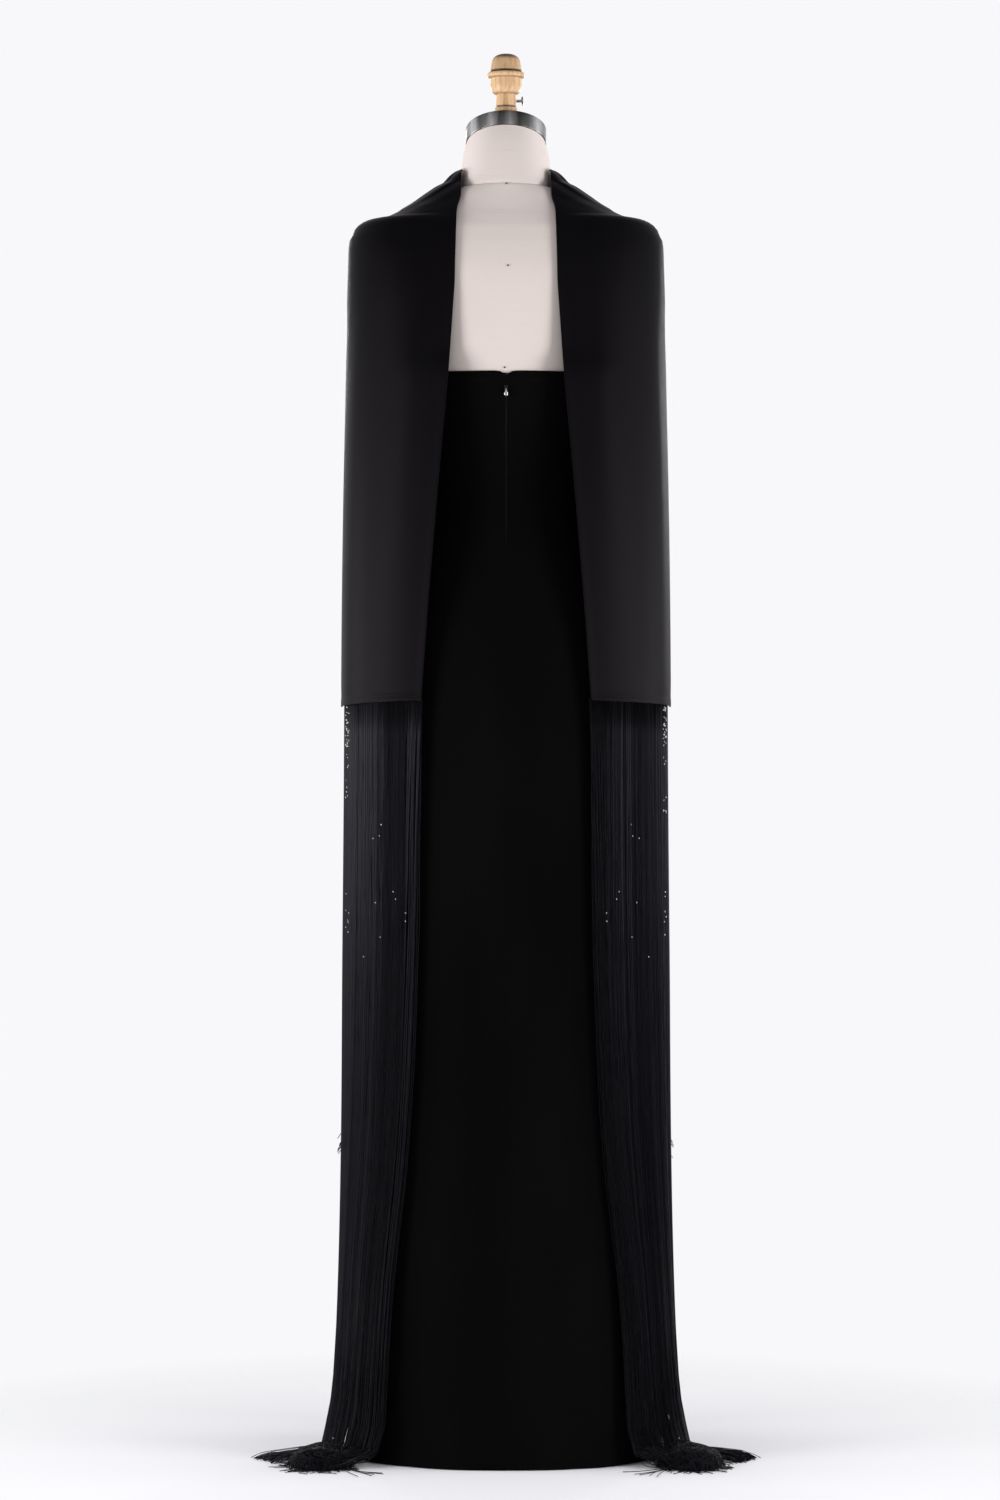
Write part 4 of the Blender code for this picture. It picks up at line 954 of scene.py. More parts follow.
def pressToLinen(point, row, share):  # the neck edge lies close to the torso and the neck
    level, off = point[..., 2], stole["offLinen"]
    press = (smoothStep(1 - share / stole["pressedWidth"])
             * smoothStep((level - stole["pressedFrom"]) / stole["pressedOver"])
             * (1 - smoothStep((row - stole["pressedRows"]) / stole["pressedFade"])))
    side, back, power = columns(torsoSections, (1, 3, 4), level)
    across = np.clip(np.abs(point[..., 0]) / (side + off), 0, 0.98) ** power
    away = -(back + off) * (1 - across) ** (1 / power) - point[..., 1]
    point[..., 1] += stole["pressedShare"] * press * np.clip(away, 0, stole["pressedMost"])
    hug = (smoothStep(1 - share / stole["hugWidth"])
           * fromRow(row, stole["hugRows"]) * (1 - fromRow(row, stole["hugFade"])))
    side, depth = column(neckRows, 1, level) + off, column(neckRows, 3, level) + off
    away = -depth * np.sqrt(1 - np.clip(point[..., 0] / side, -0.99, 0.99) ** 2) - point[..., 1]
    point[..., 1] += hug * stole["hugDepth"] * np.tanh(np.maximum(away, 0) / stole["hugDepth"])
    return point


def stolePoint(row, share, inset=0.0):
    neckRun, neckAngle = neckPath(row)
    run = blend(neckRun, np.interp(rowCurve(4, row), mantle[:, 0], mantleRun), share)
    level = column(mantlePath, 5, run)
    angle = blend(neckAngle, rowCurve(3, row), share)
    fade = smoothStep((row - stole["shoulderRow"]) / stole["foldFadeRows"])
    stand = sum(height * bump(share - place, half) for place, height, half in frontFolds) * fade
    for place, half, depth, at, halfRows in softFolds:
        stand = stand + depth * bump(share - place, half) * bump(row - at, halfRows)
    stand = stand + stole["neckRoll"] * bump(share, stole["neckRollWidth"])
    stand = stand + stole["outerRoll"] * bump(share - 1, stole["outerRollWidth"])
    hem = np.maximum(0.0, level - stoleRows[0, 2])
    stand = stand - stole["hemSink"] * bump(hem - stole["hemDepth"] * 1.6, stole["hemDepth"] * 0.6)
    point = onSections(mantlePath, angle, run, inset - stand)
    point[..., 2] = level
    return pressToLinen(point, row, share)


def stoleGrid():  # the whole strip, left hem to right hem
    last = stole["centreRow"]
    near = np.array([0.0, 0.012, 0.024, 0.036, 0.050, 0.070])  # closer rows for the hem
    half = np.concatenate([near, np.linspace(0.1, last, int(last * stole["rowsPerStep"]))])
    shares = 0.5 - 0.5 * np.cos(np.linspace(0.06, math.pi - 0.06, stole["columns"]))
    shares = (shares - shares[0]) / (shares[-1] - shares[0])
    row, share = np.meshgrid(half, shares, indexing="ij")
    left = stolePoint(row, share)
    right = left[-2::-1] * np.array([-1, 1, 1])
    return np.concatenate([left, right])


stoleCloth = clothShell("stole", stoleGrid(), stole["wall"], satin, rim=stole["rim"])
print("stole made")


# The fringe: single strands of rayon hung from each back hem in three layers. They fall
# straight, gather into streaks, and their ends lie tangled on the floor.
fringe = {
    "strandsAcross": 212, "layers": 3, "firstLayer": 0.0006, "layerStep": 0.0012,
    "radius": 0.00050, "sides": 3, "hangPoints": 28, "floorPoints": 14, "seed": 23,
    "hemInner": 0.9385, "hemOuter": 0.9315, "tuck": 0.0025, "foot": 0.026,
    "width": 0.17, "ragged": 0.065, "raggedTo": 0.12,   # the inner edge's strands wander outwards
    "clumpStrands": (1.5, 5.0), "clumpPull": 0.06, "clumpDepth": 0.0001,
    "sway": 0.6, "crinkle": 0.00022, "spreadBelow": 0.16, "spreadDepth": 0.002,
    "shortShare": 0.965, "shortChance": 0.4,            # a few ends at the outer edge hang free
    "shortLevel": 0.386, "shortSpread": 0.006, "shortCurl": (-0.0004, 0.0, -0.0006),
    "lie": (0.15, 1.0),                                 # how high in the heap a strand lies
}
strandRings = np.array([  # level, half width, front, back, rounding: outside of the curtain
    (0.000, 0.2330, 0.1500, 0.1600, 2.4), (0.040, 0.2240, 0.1460, 0.1545, 2.4),
    (0.080, 0.2170, 0.1420, 0.1500, 2.4), (0.140, 0.2132, 0.1380, 0.1460, 2.4),
    (0.220, 0.2100, 0.1350, 0.1425, 2.4), (0.320, 0.2075, 0.1325, 0.1390, 2.4),
    (0.440, 0.2058, 0.1305, 0.1362, 2.4), (0.600, 0.2048, 0.1290, 0.1345, 2.4),
    (0.800, 0.2030, 0.1275, 0.1338, 2.4), (0.940, 0.2022, 0.1270, 0.1342, 2.4)])
fringeEdges = np.array([  # level, inner edge from the centre line, outer edge in front of the side
    (0.000, 0.166, 0.030), (0.022, 0.157, 0.029), (0.048, 0.149, 0.028), (0.100, 0.1455, 0.026),
    (0.220, 0.1360, 0.020), (0.390, 0.116, 0.015),
    (0.600, 0.105, 0.011), (0.800, 0.103, 0.009), (0.940, 0.103, 0.008)])
heap = {  # the mound of ends behind the curtain's outer corner, and the bunch that points out
    "centre": (-0.2290, -0.1090), "half": (0.0380, 0.0450), "height": 0.0238,
    "core": 0.80, "coreHeight": 0.88, "coreSink": 0.0025, "coreTopSink": 0.0012, "coreFoot": 0.0003,
    "bunchFar": (-0.3050, -0.0520), "bunchNear": (-0.2830, -0.0960), "bunchSpread": (0.0050, 0.0030),
    "bunchFrom": 0.55, "bunchShare": 0.32,    # of the strands from that share of the hem outwards
    "bunchHeight": 0.0080, "bunchTip": 0.014,
    "within": 0.98, "loose": 0.04, "looseReach": (1.02, 1.25),  # in shares of the mound's half
    "wind": 0.0085, "windTwice": 0.0060, "backMost": -0.193,
}
mound = {  # the lengths wound over the heap, some that stray off it and some that run away
    "strands": 330, "points": 11, "reach": (0.2, 0.97), "above": (0.0005, 0.0017),
    "pace": (0.0022, 0.0042), "bend": 0.16, "waver": 0.12,
    "edge": 0.93, "turnIn": (0.8, 0.12),      # how hard it turns back, past the edge and before
    "strays": 30, "strayTurns": (-2.9, -0.5), "strayReach": 0.9, "strayPace": 0.65,
    "runaways": 5, "runFrom": (-0.1970, -0.1320), "runSpread": 0.003, "runWay": -1.10,
    "runPace": 0.0056, "runBend": 0.3,
}


def curtainPoint(share, level, depth):  # a point of the left curtain, depth metres inside it
    side, front, back, power = columns(strandRings, (1, 2, 3, 4), level)
    inner = np.degrees(np.arcsin((column(fringeEdges, 1, level) / side) ** (power / 2)))
    outer = 90 + np.degrees(np.arcsin((column(fringeEdges, 2, level) / front) ** (power / 2)))
    return onSections(strandRings, blend(inner, outer, share), level, depth)


def evenShare(share, level):  # a share of the curtain's own length, as a share of its angle
    grid = np.linspace(0, 1, 60)
    run = runAlong(curtainPoint(grid, np.full(60, level), 0.0))
    return np.interp(share, run / run[-1], grid)


def heapHeight(x, y):  # the mound's skin over a place on the floor
    across = (x - heap["centre"][0]) / heap["half"][0]
    along = (y - heap["centre"][1]) / heap["half"][1]
    lumps = 1 + 0.10 * np.sin(across * 5.1 + 1) * np.cos(along * 4.3) + 0.06 * np.sin(along * 9)
    return heap["height"] * lumps * np.maximum(0, 1 - (across ** 2 + along ** 2) ** 1.4) ** 0.55


def makeHeapCore(name, side):  # what fills the mound under its outer strands
    turns = np.linspace(0, math.tau, 40, endpoint=False)
    (x, y), foot = heap["centre"], heap["coreFoot"]
    top = heapHeight(x, y) * heap["coreHeight"] - heap["coreTopSink"]
    rings = [[(side * x, y, foot)]]
    for size in (1.16, 1.18, 1.12, 1.05, 0.95, 0.82, 0.64, 0.42, 0.2):
        across = x + size * heap["core"] * heap["half"][0] * np.cos(turns)
        along = y + size * heap["core"] * heap["half"][1] * np.sin(turns)
        level = np.maximum(heapHeight(across, along) * heap["coreHeight"] - heap["coreSink"],
                           foot + 0.0005)
        if len(rings) == 1:
            level = np.full(level.shape, foot)      # the first ring lies on the floor
        rings.append(np.stack([side * across, along, level], axis=-1))
    return ringedSolid(name, [*rings, [(side * x, y, top)]], rayon)


def floorTails(chance, foot, lie, share):  # where each strand's end lies on the floor
    count, steps = len(foot), fringe["floorPoints"]
    turn, far = chance.uniform(0, math.tau, count), np.sqrt(chance.random(count))
    loose = chance.random(count) < heap["loose"]
    far = np.where(loose, chance.uniform(*heap["looseReach"], count), far * heap["within"])
    goal = np.stack([heap["centre"][0] + far * heap["half"][0] * np.cos(turn),
                     heap["centre"][1] + far * heap["half"][1] * np.sin(turn)], axis=-1)
    bunched = chance.random(count) < np.where(share > heap["bunchFrom"], heap["bunchShare"], 0.0)
    along = chance.random(count)[:, None] ** 1.6
    bunch = blend(np.array(heap["bunchFar"]), np.array(heap["bunchNear"]), along)
    bunch = bunch + chance.normal(0, 1, (count, 2)) * heap["bunchSpread"]
    goal = np.where(bunched[:, None], bunch, goal)
    goal[:, 1] = np.maximum(goal[:, 1], heap["backMost"] + 0.001)
    home = foot[:, :2]
    course = goal - home
    aside = np.stack([-course[:, 1], course[:, 0]], axis=-1)
    length = np.linalg.norm(course, axis=1)
    once = chance.normal(0, heap["wind"], count) / length * np.where(bunched, 0.4, 1.0)
    twice = chance.normal(0, heap["windTwice"], count) / length * np.where(bunched, 0.2, 1.0)
    points = []
    for t in np.arange(1, steps + 1) / steps:
        wound = once * math.sin(math.pi * t) + twice * math.sin(math.tau * t)
        place = home + course * t + aside * wound[:, None]
        place[:, 1] = np.maximum(place[:, 1], heap["backMost"])
        skin = heapHeight(place[:, 0], place[:, 1]) * (0.55 + 0.45 * lie)
        fall = foot[:, 2] * (1 - t) ** np.where(bunched, 5.0, 1.3)
        level = np.maximum(skin, fall) + fringe["radius"] * (1.1 + 2.5 * lie)
        reach = np.clip((place[:, 0] - goal[:, 0]) / heap["bunchTip"], 0, 1) ** 0.6
        raised = 0.0005 + heap["bunchHeight"] * reach * lie
        level = np.where(bunched, np.maximum(level, raised), level)
        points.append(np.concatenate([place, level[:, None]], axis=1))
    return np.stack(points, axis=1)


def moundStrands(chance):  # lengths wound over the mound, following its skin
    count = mound["strands"]
    turn, far = chance.uniform(0, math.tau, count), chance.uniform(*mound["reach"], count) ** 0.7
    heading = turn + math.pi / 2 * np.sign(chance.normal(0, 1, count)) + chance.normal(0, 0.5, count)
    stray = np.arange(count) < mound["strays"]                 # these stick out towards the back
    runaway = np.arange(count) >= count - mound["runaways"]    # and these lie out on the floor
    turn = np.where(stray, chance.uniform(*mound["strayTurns"], count), turn)
    far = np.where(stray, mound["strayReach"], far)
    heading = np.where(stray, turn + chance.normal(0, 0.5, count), heading)
    bend, pace = chance.normal(0, mound["bend"], count), chance.uniform(*mound["pace"], count)
    half, centre = np.array(heap["half"]), np.array(heap["centre"])
    place = centre + far[:, None] * half * np.stack([np.cos(turn), np.sin(turn)], axis=-1)
    start = np.array(mound["runFrom"]) + chance.normal(0, mound["runSpread"], (count, 2))
    place = np.where(runaway[:, None], start, place)
    heading = np.where(runaway, mound["runWay"] + chance.normal(0, mound["waver"], count), heading)
    bend = np.where(runaway, mound["runBend"] * bend, bend)
    pace = np.where(stray, mound["strayPace"] * pace, np.where(runaway, mound["runPace"], pace))
    above, points = chance.uniform(*mound["above"], count), []
    for _ in range(mound["points"]):
        out = np.linalg.norm((place - centre) / half, axis=1)
        home = np.arctan2(centre[1] - place[:, 1], centre[0] - place[:, 0])
        turnIn = np.sin(home - heading) * np.where(out > mound["edge"], *mound["turnIn"])
        turnIn = np.where(stray | runaway, 0, turnIn)
        heading = heading + bend + turnIn + chance.normal(0, mound["waver"], count) * ~runaway
        place = place + np.stack([np.cos(heading), np.sin(heading)], axis=-1) * pace[:, None]
        place[:, 1] = np.maximum(place[:, 1], heap["backMost"])
        level = heapHeight(place[:, 0], place[:, 1]) + above
        points.append(np.concatenate([place, level[:, None]], axis=1))
    return np.stack(points, axis=1)


def hangStrands(name, side, seed):
    chance = np.random.default_rng(seed)
    across, layers = fringe["strandsAcross"], fringe["layers"]
    count = across * layers
    layer = np.repeat(np.arange(layers), across)
    share = np.tile(np.arange(across), layers) + (layer + 0.5) / layers
    share = np.clip((share + chance.uniform(-0.25, 0.25, count)) / across, 0.0005, 0.9995)
    edges = np.cumsum(chance.uniform(*fringe["clumpStrands"], across)) / across
    edges = np.concatenate([[0], edges[edges < 1], [1]])      # strands gather in streaks
    clump = np.searchsorted(edges, share, side="right") - 1
    centre = (edges[clump] + edges[clump + 1]) / 2
    pull = chance.uniform(0.2, 1.0, len(edges))[clump] * fringe["clumpPull"]
    clumpDepth = chance.uniform(-1, 1, len(edges))[clump] * fringe["clumpDepth"]
    clumpTone = chance.random(len(edges))[clump]
    top = blend(fringe["hemInner"], fringe["hemOuter"], share) + fringe["tuck"]
    lie = chance.uniform(*fringe["lie"], count)
    foot = fringe["foot"] * (0.35 + 0.65 * lie) * (1 - 0.72 * smoothStep((share - 0.5) / 0.25))
    ragged = (share < fringe["raggedTo"]) * chance.uniform(0.0, 1.0, count) ** 0.6 * fringe["ragged"]
    short = (share > fringe["shortShare"]) & (chance.random(count) < fringe["shortChance"])
    free = fringe["shortLevel"] + chance.normal(0, fringe["shortSpread"], count)
    foot = np.where(short, free, foot)
    phase = chance.uniform(0, math.tau, (count, 3))
    hang = []
    for t in np.linspace(0, 1, fringe["hangPoints"]) ** 0.9:
        level = blend(top, foot, t)
        gather = pull * smoothStep(t * 12) * (1 - 0.9 * smoothStep((t - 0.7) / 0.25))
        wander = sum(np.sin(t * f + phase[:, k]) for k, f in enumerate((3.1, 6.7, 12.0))) / 3
        loosen = np.maximum(0, (fringe["spreadBelow"] - level) / fringe["spreadBelow"])
        here = blend(share, centre, gather) + ragged * np.sin(math.pi * t) ** 0.7
        here = here + wander * fringe["sway"] * (0.10 + 0.9 * t ** 2) / across
        here = here + np.sin(phase[:, 0] * 3) * loosen / across
        crinkle = chance.normal(0, fringe["crinkle"], count) / fringe["width"]
        here = here + crinkle * smoothStep(t * 9)
        depth = (fringe["firstLayer"] + layer * fringe["layerStep"] + clumpDepth * smoothStep(t * 8)
                 + np.sin(phase[:, 1] * 2) * loosen * fringe["spreadDepth"])
        here = evenShare(np.clip(here, 0.0, 1.0), float(np.median(level)))
        hang.append(curtainPoint(here, level, np.maximum(depth, 0.0)))
    hang = np.stack(hang, axis=1)
    tails = floorTails(chance, hang[:, -1], lie, share)
    curl = np.arange(1, fringe["floorPoints"] + 1)[None, :, None] * np.array(fringe["shortCurl"])
    tails = np.where(short[:, None, None], hang[:, -1][:, None, :] + curl, tails)
    points = np.concatenate([hang, tails], axis=1)
    coils = moundStrands(chance)
    tone = np.clip(0.6 * chance.random(count) ** 1.5 + 0.4 * clumpTone, 0, 1)
    tone = tone * blend(0.25, 1.0, smoothStep(share * 1.2))   # painted shade: the inner strands are darkened
    places, links, tones, first = [], [], [], 0
    for strands, tint in ((points, tone), (coils, chance.random(len(coils)) * 0.8)):
        per = strands.shape[1]
        starts = first + np.arange(len(strands))[:, None] * per + np.arange(per - 1)[None, :]
        places.append(strands.reshape(-1, 3) * (side, 1, 1))
        links.append(np.stack([starts, starts + 1], axis=-1).reshape(-1, 2))
        tones.append(np.repeat(tint, per))
        first += len(strands) * per
    cloud = pointCloud(name, np.concatenate(places), np.concatenate(links),
                       strandTone=np.concatenate(tones))
    sizes = {"Radius": fringe["radius"], "Sides": fringe["sides"]}
    strands = grow(cloud, "fringeStrands", sizes, sweep, rayon, 180)
    return joined(name, [strands, makeHeapCore(name + "Core", side)], 180)


fringeLeft = hangStrands("fringeLeft", 1, fringe["seed"])
fringeRight = hangStrands("fringeRight", -1, fringe["seed"] + 1)
print("fringe hung")


# A few silvered sequins are caught among the strands, most of them along the outer edge.
glints = {"across": 0.0008, "stretch": 2.4, "cup": 0.0001, "lift": 0.0007, "spin": 0.4,
          "edgeTip": 0.20, "singleTip": 0.03, "facing": (0.50, -0.86, 0.10),
          "edge": (0.1940, 0.1985), "seed": 31}   # edge: how far out the outer ones lie
edgeGlints = ((0.880, 0.931, 30), (0.800, 0.880, 10), (0.622, 0.708, 7))  # from, to, how many
singleGlints = np.array([  # from the centre line, level
    (0.153, 0.786), (0.163, 0.769), (0.155, 0.772), (0.138, 0.704), (0.135, 0.695),
    (0.1225, 0.678), (0.1228, 0.668), (0.175, 0.623), (0.154, 0.648), (0.160, 0.690),
    (0.2130, 0.028), (0.2040, 0.016)])


def strewGlints(name, side, seed):
    chance = np.random.default_rng(seed)
    caught = [(chance.uniform(*glints["edge"]), chance.uniform(low, high))
              for low, high, count in edgeGlints for _ in range(count)]
    groups = []
    for group, spots, tip in (("Edge", caught, glints["edgeTip"]),
                              ("Single", singleGlints, glints["singleTip"])):
        places = []
        for x, level in spots:
            size, power = (float(value) for value in columns(strandRings, (1, 4), level))
            angle = math.degrees(math.asin(min(1.0, (x / size) ** (power / 2))))
            here = onSections(strandRings, angle, level, inset=-glints["lift"])
            places.append((side * here[0], here[1], level))
        facing = np.full((len(places), 3), glints["facing"]) * (-side, 1, 1)
        cloud = pointCloud(name + group, places, outward=facing)
        sizes = {"Across": glints["across"], "Cup": glints["cup"], "Tip": tip,
                 "Spin": glints["spin"], "Stretch": glints["stretch"], "Facets": 6, "Seed": seed}
        groups.append(grow(cloud, "sewnSequins", sizes, sequinDiscs, silverFilm, 0))
    return joined(name, groups, 0)


glintsLeft = strewGlints("glintsLeft", 1, glints["seed"])
glintsRight = strewGlints("glintsRight", -1, glints["seed"] + 1)
print("glints strewn")


# Running stitches, each a short length of thread lying along its line.
stitching = {"length": 0.0019, "pitch": 0.0030, "thick": 0.00020, "lift": 0.0001,
             "bandUp": 0.0020}   # how far above the band's lower edge its row runs


def stitchRun(tree, given):
    stitch = addNode(tree, "GeometryNodeMeshCylinder", {
        "Vertices": given["Sides"], "Radius": given["Thick"], "Depth": given["Length"]})
    return placeOnEach(tree, given, stitch, "along")


def sewLine(name, lines):  # lines: arrays of points, each one row of stitches
    places, along = [], []
    for line in lines:
        run = runAlong(line)
        at = np.arange(stitching["pitch"] / 2, run[-1], stitching["pitch"])
        here, ahead = [np.stack([np.interp(at + step, run, line[:, k]) for k in range(3)], axis=-1)
                       for step in (0.0, 0.0005)]
        places.append(here)
        along.append(ahead - here)
    cloud = pointCloud(name, np.concatenate(places), along=np.concatenate(along))
    sizes = {"Length": stitching["length"], "Thick": stitching["thick"], "Sides": 6}
    return grow(cloud, "runningStitch", sizes, stitchRun, thread)


def hemLine(side):
    share = np.linspace(0.02, 0.98, 60)
    return stolePoint(np.full(60, 0.05), share, -stitching["lift"]) * np.array([side, 1, 1])


def bandLine(start, end):
    angles = np.linspace(start, end, 90)
    level = gownTop(angles) - gown["bandDepth"] + stitching["bandUp"]
    return gownSkin(angles, level, -stitching["lift"] - gown["bandRise"])


stoleStitches = sewLine("stoleStitches", [hemLine(1), hemLine(-1)])
bandStitches = sewLine("bandStitches", [bandLine(1.5, 89.0), bandLine(-89.0, -1.5)])
print("stitches sewn")


# Three dressmaker's pins mark the centre back: at the neck seam, the shoulders and the bust.
pins = {"places": ((0.0006, 1.5785), (0.0024, 1.4720), (-0.0018, 1.3470)), "radius": 0.0011}


def makePins():
    shape = bmesh.new()
    for x, level in pins["places"]:
        y = float(onSections(torsoSections, 0.0, level)[1]) - pins["radius"] * 0.5
        bmesh.ops.create_uvsphere(shape, u_segments=12, v_segments=8, radius=pins["radius"],
                                  matrix=Matrix.Translation((x, y, level)))
    return fromShape("markingPins", shape, enamel, 60)


markingPins = makePins()

# The neck's metal plate, tilted with the neck and bored upright for the finial's collar.
plate = {"radius": 0.0504, "half": 0.0097, "foot": -0.0110, "centre": (0.0, 0.0100, 1.6458),
         "lip": 0.0004, "bore": 0.0143, "boreFoot": 1.6477, "boreTop": 1.70}


def makePlate():
    half, radius, lip, foot = (plate[key] for key in ("half", "radius", "lip", "foot"))
    profile = [(0.0, half - 0.0012), (0.0440, half - 0.0010), (0.0462, half - 0.0004),
               (radius - 0.0022, half),
               (radius - 0.0010, half - 0.0003), (radius - 0.0002, half - 0.0009),
               (radius, half - 0.0018), (radius, half - 0.0030), (radius - 0.0004, half - 0.0033),
               (radius - 0.0004, half - 0.0037), (radius, half - 0.0040),
               (radius, foot + lip), (radius - lip * 0.4, foot + lip * 0.35),
               (radius - lip, foot), (0.0, foot)]
    place = Matrix.Translation(plate["centre"]) @ Matrix.Rotation(-neckTilt, 4, "X")
    made = turnedSolid("neckPlate", profile, 144, brushedSteelPaintedBands, place)
    bore, low, high = plate["bore"], plate["boreFoot"], plate["boreTop"]
    drill = turnedSolid("drill", [(0, high), (bore, high), (bore, low), (0, low)], 48, brushedSteelPaintedBands)
    cut = made.modifiers.new("Bore", "BOOLEAN")
    cut.operation = "DIFFERENCE"
    cut.solver = "EXACT"
    cut.object = drill
    plainMesh(made, 32)
    bpy.data.objects.remove(drill)
    return made


neckPlate = makePlate()

# The finial, turned in two parts as (radius, level) down the outer side.
finialSteps = 72
capProfile = [(0.0000, 1.7475), (0.0040, 1.7474), (0.0078, 1.7468), (0.0112, 1.7457),
              (0.0140, 1.7440), (0.0160, 1.7419), (0.0172, 1.7396), (0.0179, 1.7370),
              (0.0184, 1.7335), (0.0190, 1.7295), (0.0196, 1.7266), (0.0194, 1.7256),
              (0.0188, 1.7250), (0.0000, 1.7250)]
stemProfile = [(0.0000, 1.7247), (0.0192, 1.7247), (0.0210, 1.7243), (0.0225, 1.7233),
               (0.0234, 1.7220), (0.0236, 1.7207), (0.0233, 1.7192), (0.0224, 1.7180),
               (0.0208, 1.7171), (0.0198, 1.7165), (0.0196, 1.7150), (0.0197, 1.7110),
               (0.0196, 1.7080), (0.0192, 1.7052), (0.0185, 1.7024), (0.0174, 1.7000),
               (0.0159, 1.6982), (0.0142, 1.6971), (0.0126, 1.6966), (0.0121, 1.6958),
               (0.0122, 1.6920), (0.0125, 1.6870), (0.0127, 1.6826), (0.0122, 1.6814),
               (0.0122, 1.6808), (0.0134, 1.6803), (0.0139, 1.6794), (0.0140, 1.6780),
               (0.0140, 1.6640), (0.0140, 1.6480), (0.0000, 1.6480)]
finialCap = turnedSolid("finialCap", capProfile, finialSteps, beech)
finialStem = turnedSolid("finialStem", stemProfile, finialSteps, beech)

# The thumb screw in the finial's collar: a turned steel head with its knurl cut round it.
screw = {"level": 1.6886, "headRadius": 0.0054, "ribs": 26, "ribSize": 0.00042, "ribLength": 0.0014,
         "ribsAt": 0.0203}
screwProfile = [(0.0000, 0.0216), (0.0036, 0.0216), (0.0046, 0.0214), (0.0052, 0.0210),
                (0.0053, 0.0203), (0.0052, 0.0196), (0.0046, 0.0191), (0.0026, 0.0189),
                (0.0020, 0.0185), (0.0018, 0.0180), (0.0018, 0.0128), (0.0000, 0.0128)]


def knurlRibs(tree, given):
    size = addNode(tree, "ShaderNodeCombineXYZ", {
        "X": given["Length"], "Y": given["Size"], "Z": given["Size"]})
    bar = addNode(tree, "GeometryNodeMeshCube", {"Size": size})
    return placeOnEach(tree, given, bar, "outward", pivot_axis="X")


def makeThumbScrew():
    place = Matrix.Translation((0, 0, screw["level"])) @ Matrix.Rotation(math.radians(90), 4, "Y")
    turnedHead = turnedSolid("turnedHead", screwProfile, 40, nickel, place)
    turns = np.arange(screw["ribs"]) * math.tau / screw["ribs"]
    outward = np.stack([0 * turns, np.cos(turns), np.sin(turns)], axis=-1)
    cloud = pointCloud("knurl", outward * screw["headRadius"] + (screw["ribsAt"], 0, screw["level"]),
                       outward=outward)
    sizes = {"Size": screw["ribSize"], "Length": screw["ribLength"]}
    ribs = grow(cloud, "knurlRibs", sizes, knurlRibs, nickel)
    return joined("thumbScrew", [turnedHead, ribs])


thumbScrew = makeThumbScrew()
for name in ("stand_pole", "stand_base"):
    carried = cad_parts[name]
    carried.data.materials.clear()
    carried.data.materials.append(enamel)
print("form made")


# What each piece rides on, which CAD nodes it stands for, and the finish slot it is listed under.
pieces = [
    (gownPanels["gownBackLeft"], onForm, "black_crepe", ["gown_back_left"]),
    (gownPanels["gownBackRight"], onForm, "black_crepe", ["gown_back_right"]),
    (gownPanels["gownSideFrontLeft"], onForm, "black_sequins", ["gown_side_front_left"]),
    (gownPanels["gownFront"], onForm, "black_sequins", ["gown_front"]),
    (gownPanels["gownSideFrontRight"], onForm, "black_sequins", ["gown_side_front_right"]),
    (gownSequins["sequinsSideFrontLeft"], onForm, "black_sequins", []),
    (gownSequins["sequinsFront"], onForm, "black_sequins", []),
    (gownSequins["sequinsSideFrontRight"], onForm, "black_sequins", []),
    (zipTape, onForm, "black_crepe", ["zip_tape"]),
    (zipCoil, onForm, "black_crepe", []),
    (zipSlider, onForm, "bright_steel", ["zip_slider"]),
    (zipPull, "pull", "bright_steel", ["zip_pull"]),
    (hookAndEye, onForm, "bright_steel", ["hook_and_eye"]),
    (stoleCloth, onForm, "black_crepe", ["stole_left", "stole_right", "stole_front"]),
    (stoleStitches, onForm, "black_crepe", []),
    (bandStitches, onForm, "black_crepe", []),
    (fringeLeft, onForm, "black_strands", ["fringe_left", "fringe_heap_left"]),
    (fringeRight, onForm, "black_strands", ["fringe_right", "fringe_heap_right"]),
    (glintsLeft, onForm, "black_sequins", []),
    (glintsRight, onForm, "black_sequins", []),
    (formTorso, onForm, "cream_linen", ["form_torso"]),
    (formNeck, onForm, "cream_linen", ["form_neck"]),
    (markingPins, onForm, "bright_steel", []),
    (neckPlate, onForm, "bright_steel", ["neck_plate"]),
    (finialCap, onForm, "turned_beech", ["finial_cap"]),
    (finialStem, onForm, "turned_beech", ["finial_stem"]),
    (thumbScrew, "screw", "bright_steel", ["thumb_screw"]),
]
for made, body, slot, nodes in pieces:
    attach(made, body)
    if nodes:
        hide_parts(*nodes)

print("pieces placed")


# The studio: pale paper that runs out into a pale backdrop. At each side stand a softbox in
# front, a smaller one abreast, which draws the pale edge down the stole, and a lamp beyond.
studio = {
    "floorRadius": 3.0, "backdrop": "#f8f8fa", "air": "#fdfdff",
    "lens": 105.6, "sensor": 36.0, "camera": (-0.0075, -5.5, 0.8775),
    "darkRoom": 0.72, "brightRoom": 0.95,   # towards the camera's end and the backdrop's end
    "below": 0.25, "above": 0.22,           # how much of that comes from below and overhead
}
softboxes = [  # name, place, aimed at, width, height, watts
    ("softboxLeft", (-1.50, -0.88, 1.04), (0, 0, 1.04), 0.7, 0.8, 19.0),
    ("softboxRight", (1.46, -0.94, 1.04), (0, 0, 1.04), 0.7, 0.8, 18.0),
    ("softboxSideLeft", (-1.20, 0.05, 0.98), (0, -0.05, 0.98), 0.4, 0.6, 7.0),
    ("softboxSideRight", (1.20, 0.05, 0.98), (0, -0.05, 0.98), 0.4, 0.6, 7.0),
    ("lampBeyondLeft", (-0.90, 2.30, 1.75), (0, 0, 1.1), 0.3, 0.5, 5.0),
    ("lampBeyondRight", (1.10, 2.10, 1.50), (0, 0, 1.1), 0.3, 0.5, 5.0),
]


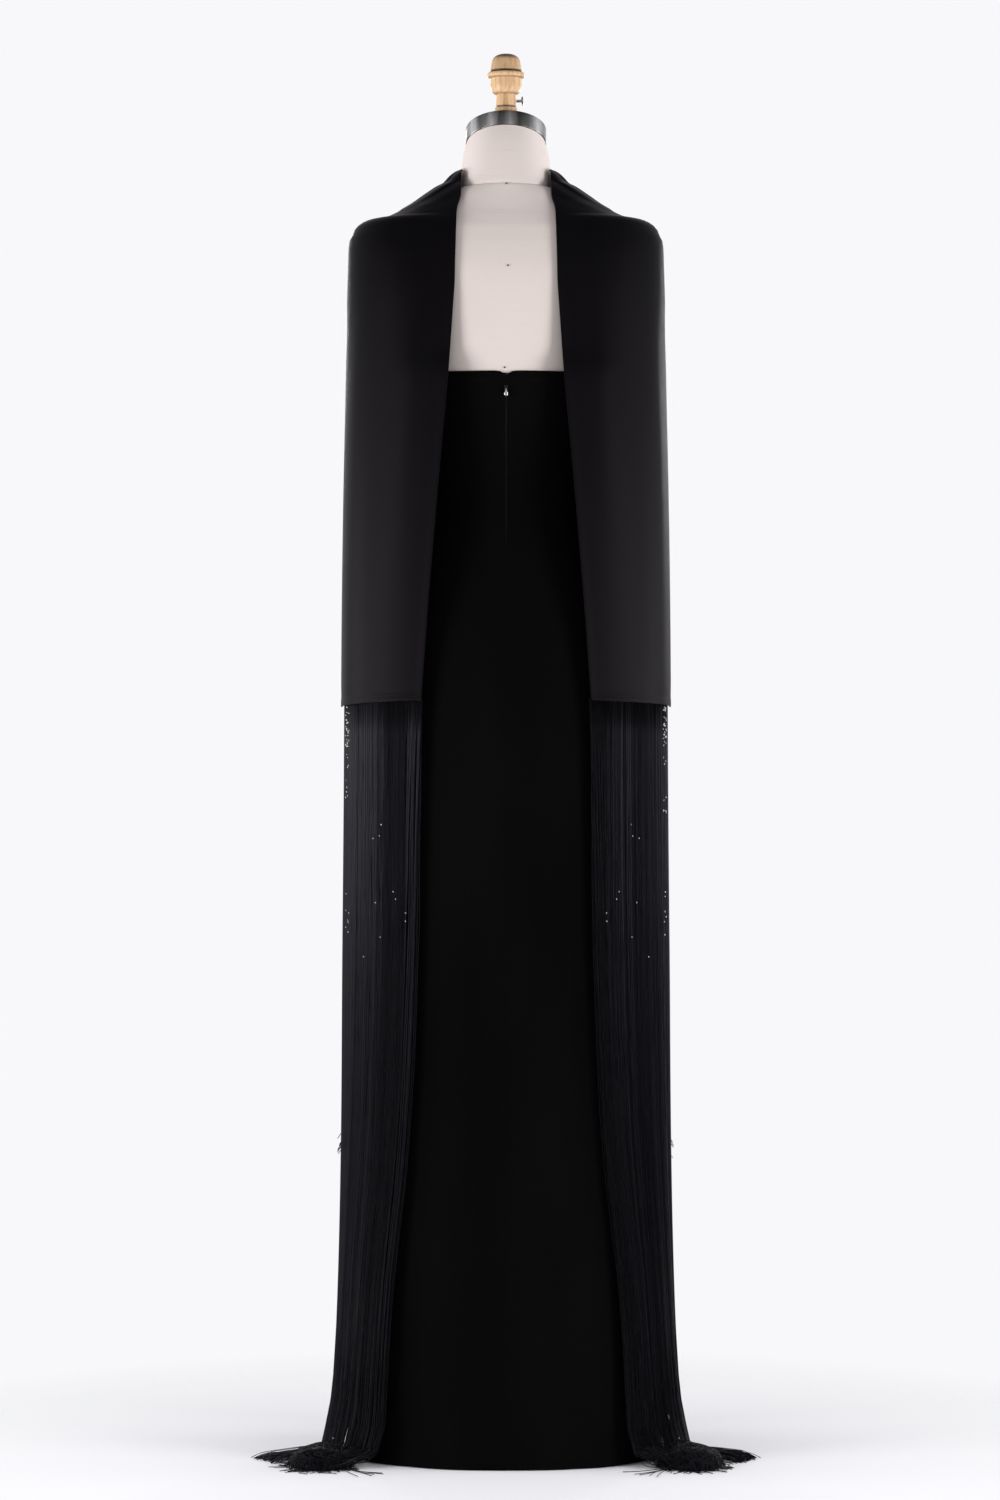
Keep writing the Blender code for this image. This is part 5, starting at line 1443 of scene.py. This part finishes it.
def makeStudio():
    shape = bmesh.new()
    bmesh.ops.create_circle(shape, cap_ends=True, segments=96, radius=studio["floorRadius"])
    fromShape("studioFloor", shape, floorPaper)
    for name, place, aim, width, height, watts in softboxes:
        lamp = bpy.data.lights.new(name, "AREA")
        lamp.shape = "RECTANGLE"
        lamp.size, lamp.size_y, lamp.energy = width, height, watts
        holder = bpy.data.objects.new(name, lamp)
        holder.location = place
        holder.rotation_euler = (Vector(aim) - Vector(place)).to_track_quat("-Z", "Y").to_euler()
        holder.visible_camera = False
        bpy.context.scene.collection.objects.link(holder)
    world = bpy.data.worlds.new("studio")
    world.use_nodes = True
    tree = world.node_tree
    tree.nodes.clear()
    way = addNode(tree, "ShaderNodeTexCoord").outputs["Generated"]
    way = addNode(tree, "ShaderNodeSeparateXYZ", {"Vector": way}).outputs
    room = 1.0
    for axis, start, end, low, high in (
            ("Y", -0.35, 0.55, studio["darkRoom"], studio["brightRoom"]),
            ("Z", -0.3, 0.1, studio["below"], 1.0), ("Z", 0.2, 0.9, 1.0, studio["above"])):
        share = addNode(tree, "ShaderNodeMapRange", {
            "Value": way[axis], "From Min": start, "From Max": end, "To Min": low, "To Max": high})
        room = addNode(tree, "ShaderNodeMath", {0: room, 1: share}, operation="MULTIPLY")
    around = addNode(tree, "ShaderNodeBackground", {"Strength": room, "Color": linear(studio["air"])})
    seen = addNode(tree, "ShaderNodeBackground", {"Color": linear(studio["backdrop"])})
    rays = addNode(tree, "ShaderNodeLightPath").outputs["Is Camera Ray"]
    mixed = addNode(tree, "ShaderNodeMixShader", {"Fac": rays, 1: around, 2: seen})
    addNode(tree, "ShaderNodeOutputWorld", {"Surface": mixed})
    bpy.context.scene.world = world


def makeCamera():
    view = bpy.data.cameras.new("camera")
    view.lens = studio["lens"]
    view.sensor_width = view.sensor_height = studio["sensor"]
    view.sensor_fit = "AUTO"
    holder = bpy.data.objects.new("camera", view)
    holder.location = studio["camera"]
    holder.rotation_euler = (math.radians(90), 0, 0)
    bpy.context.scene.collection.objects.link(holder)
    bpy.context.scene.camera = holder


makeStudio()
makeCamera()
bpy.context.scene.view_settings.view_transform = "Standard"
bpy.context.scene.view_settings.look = "None"
print("studio lit")
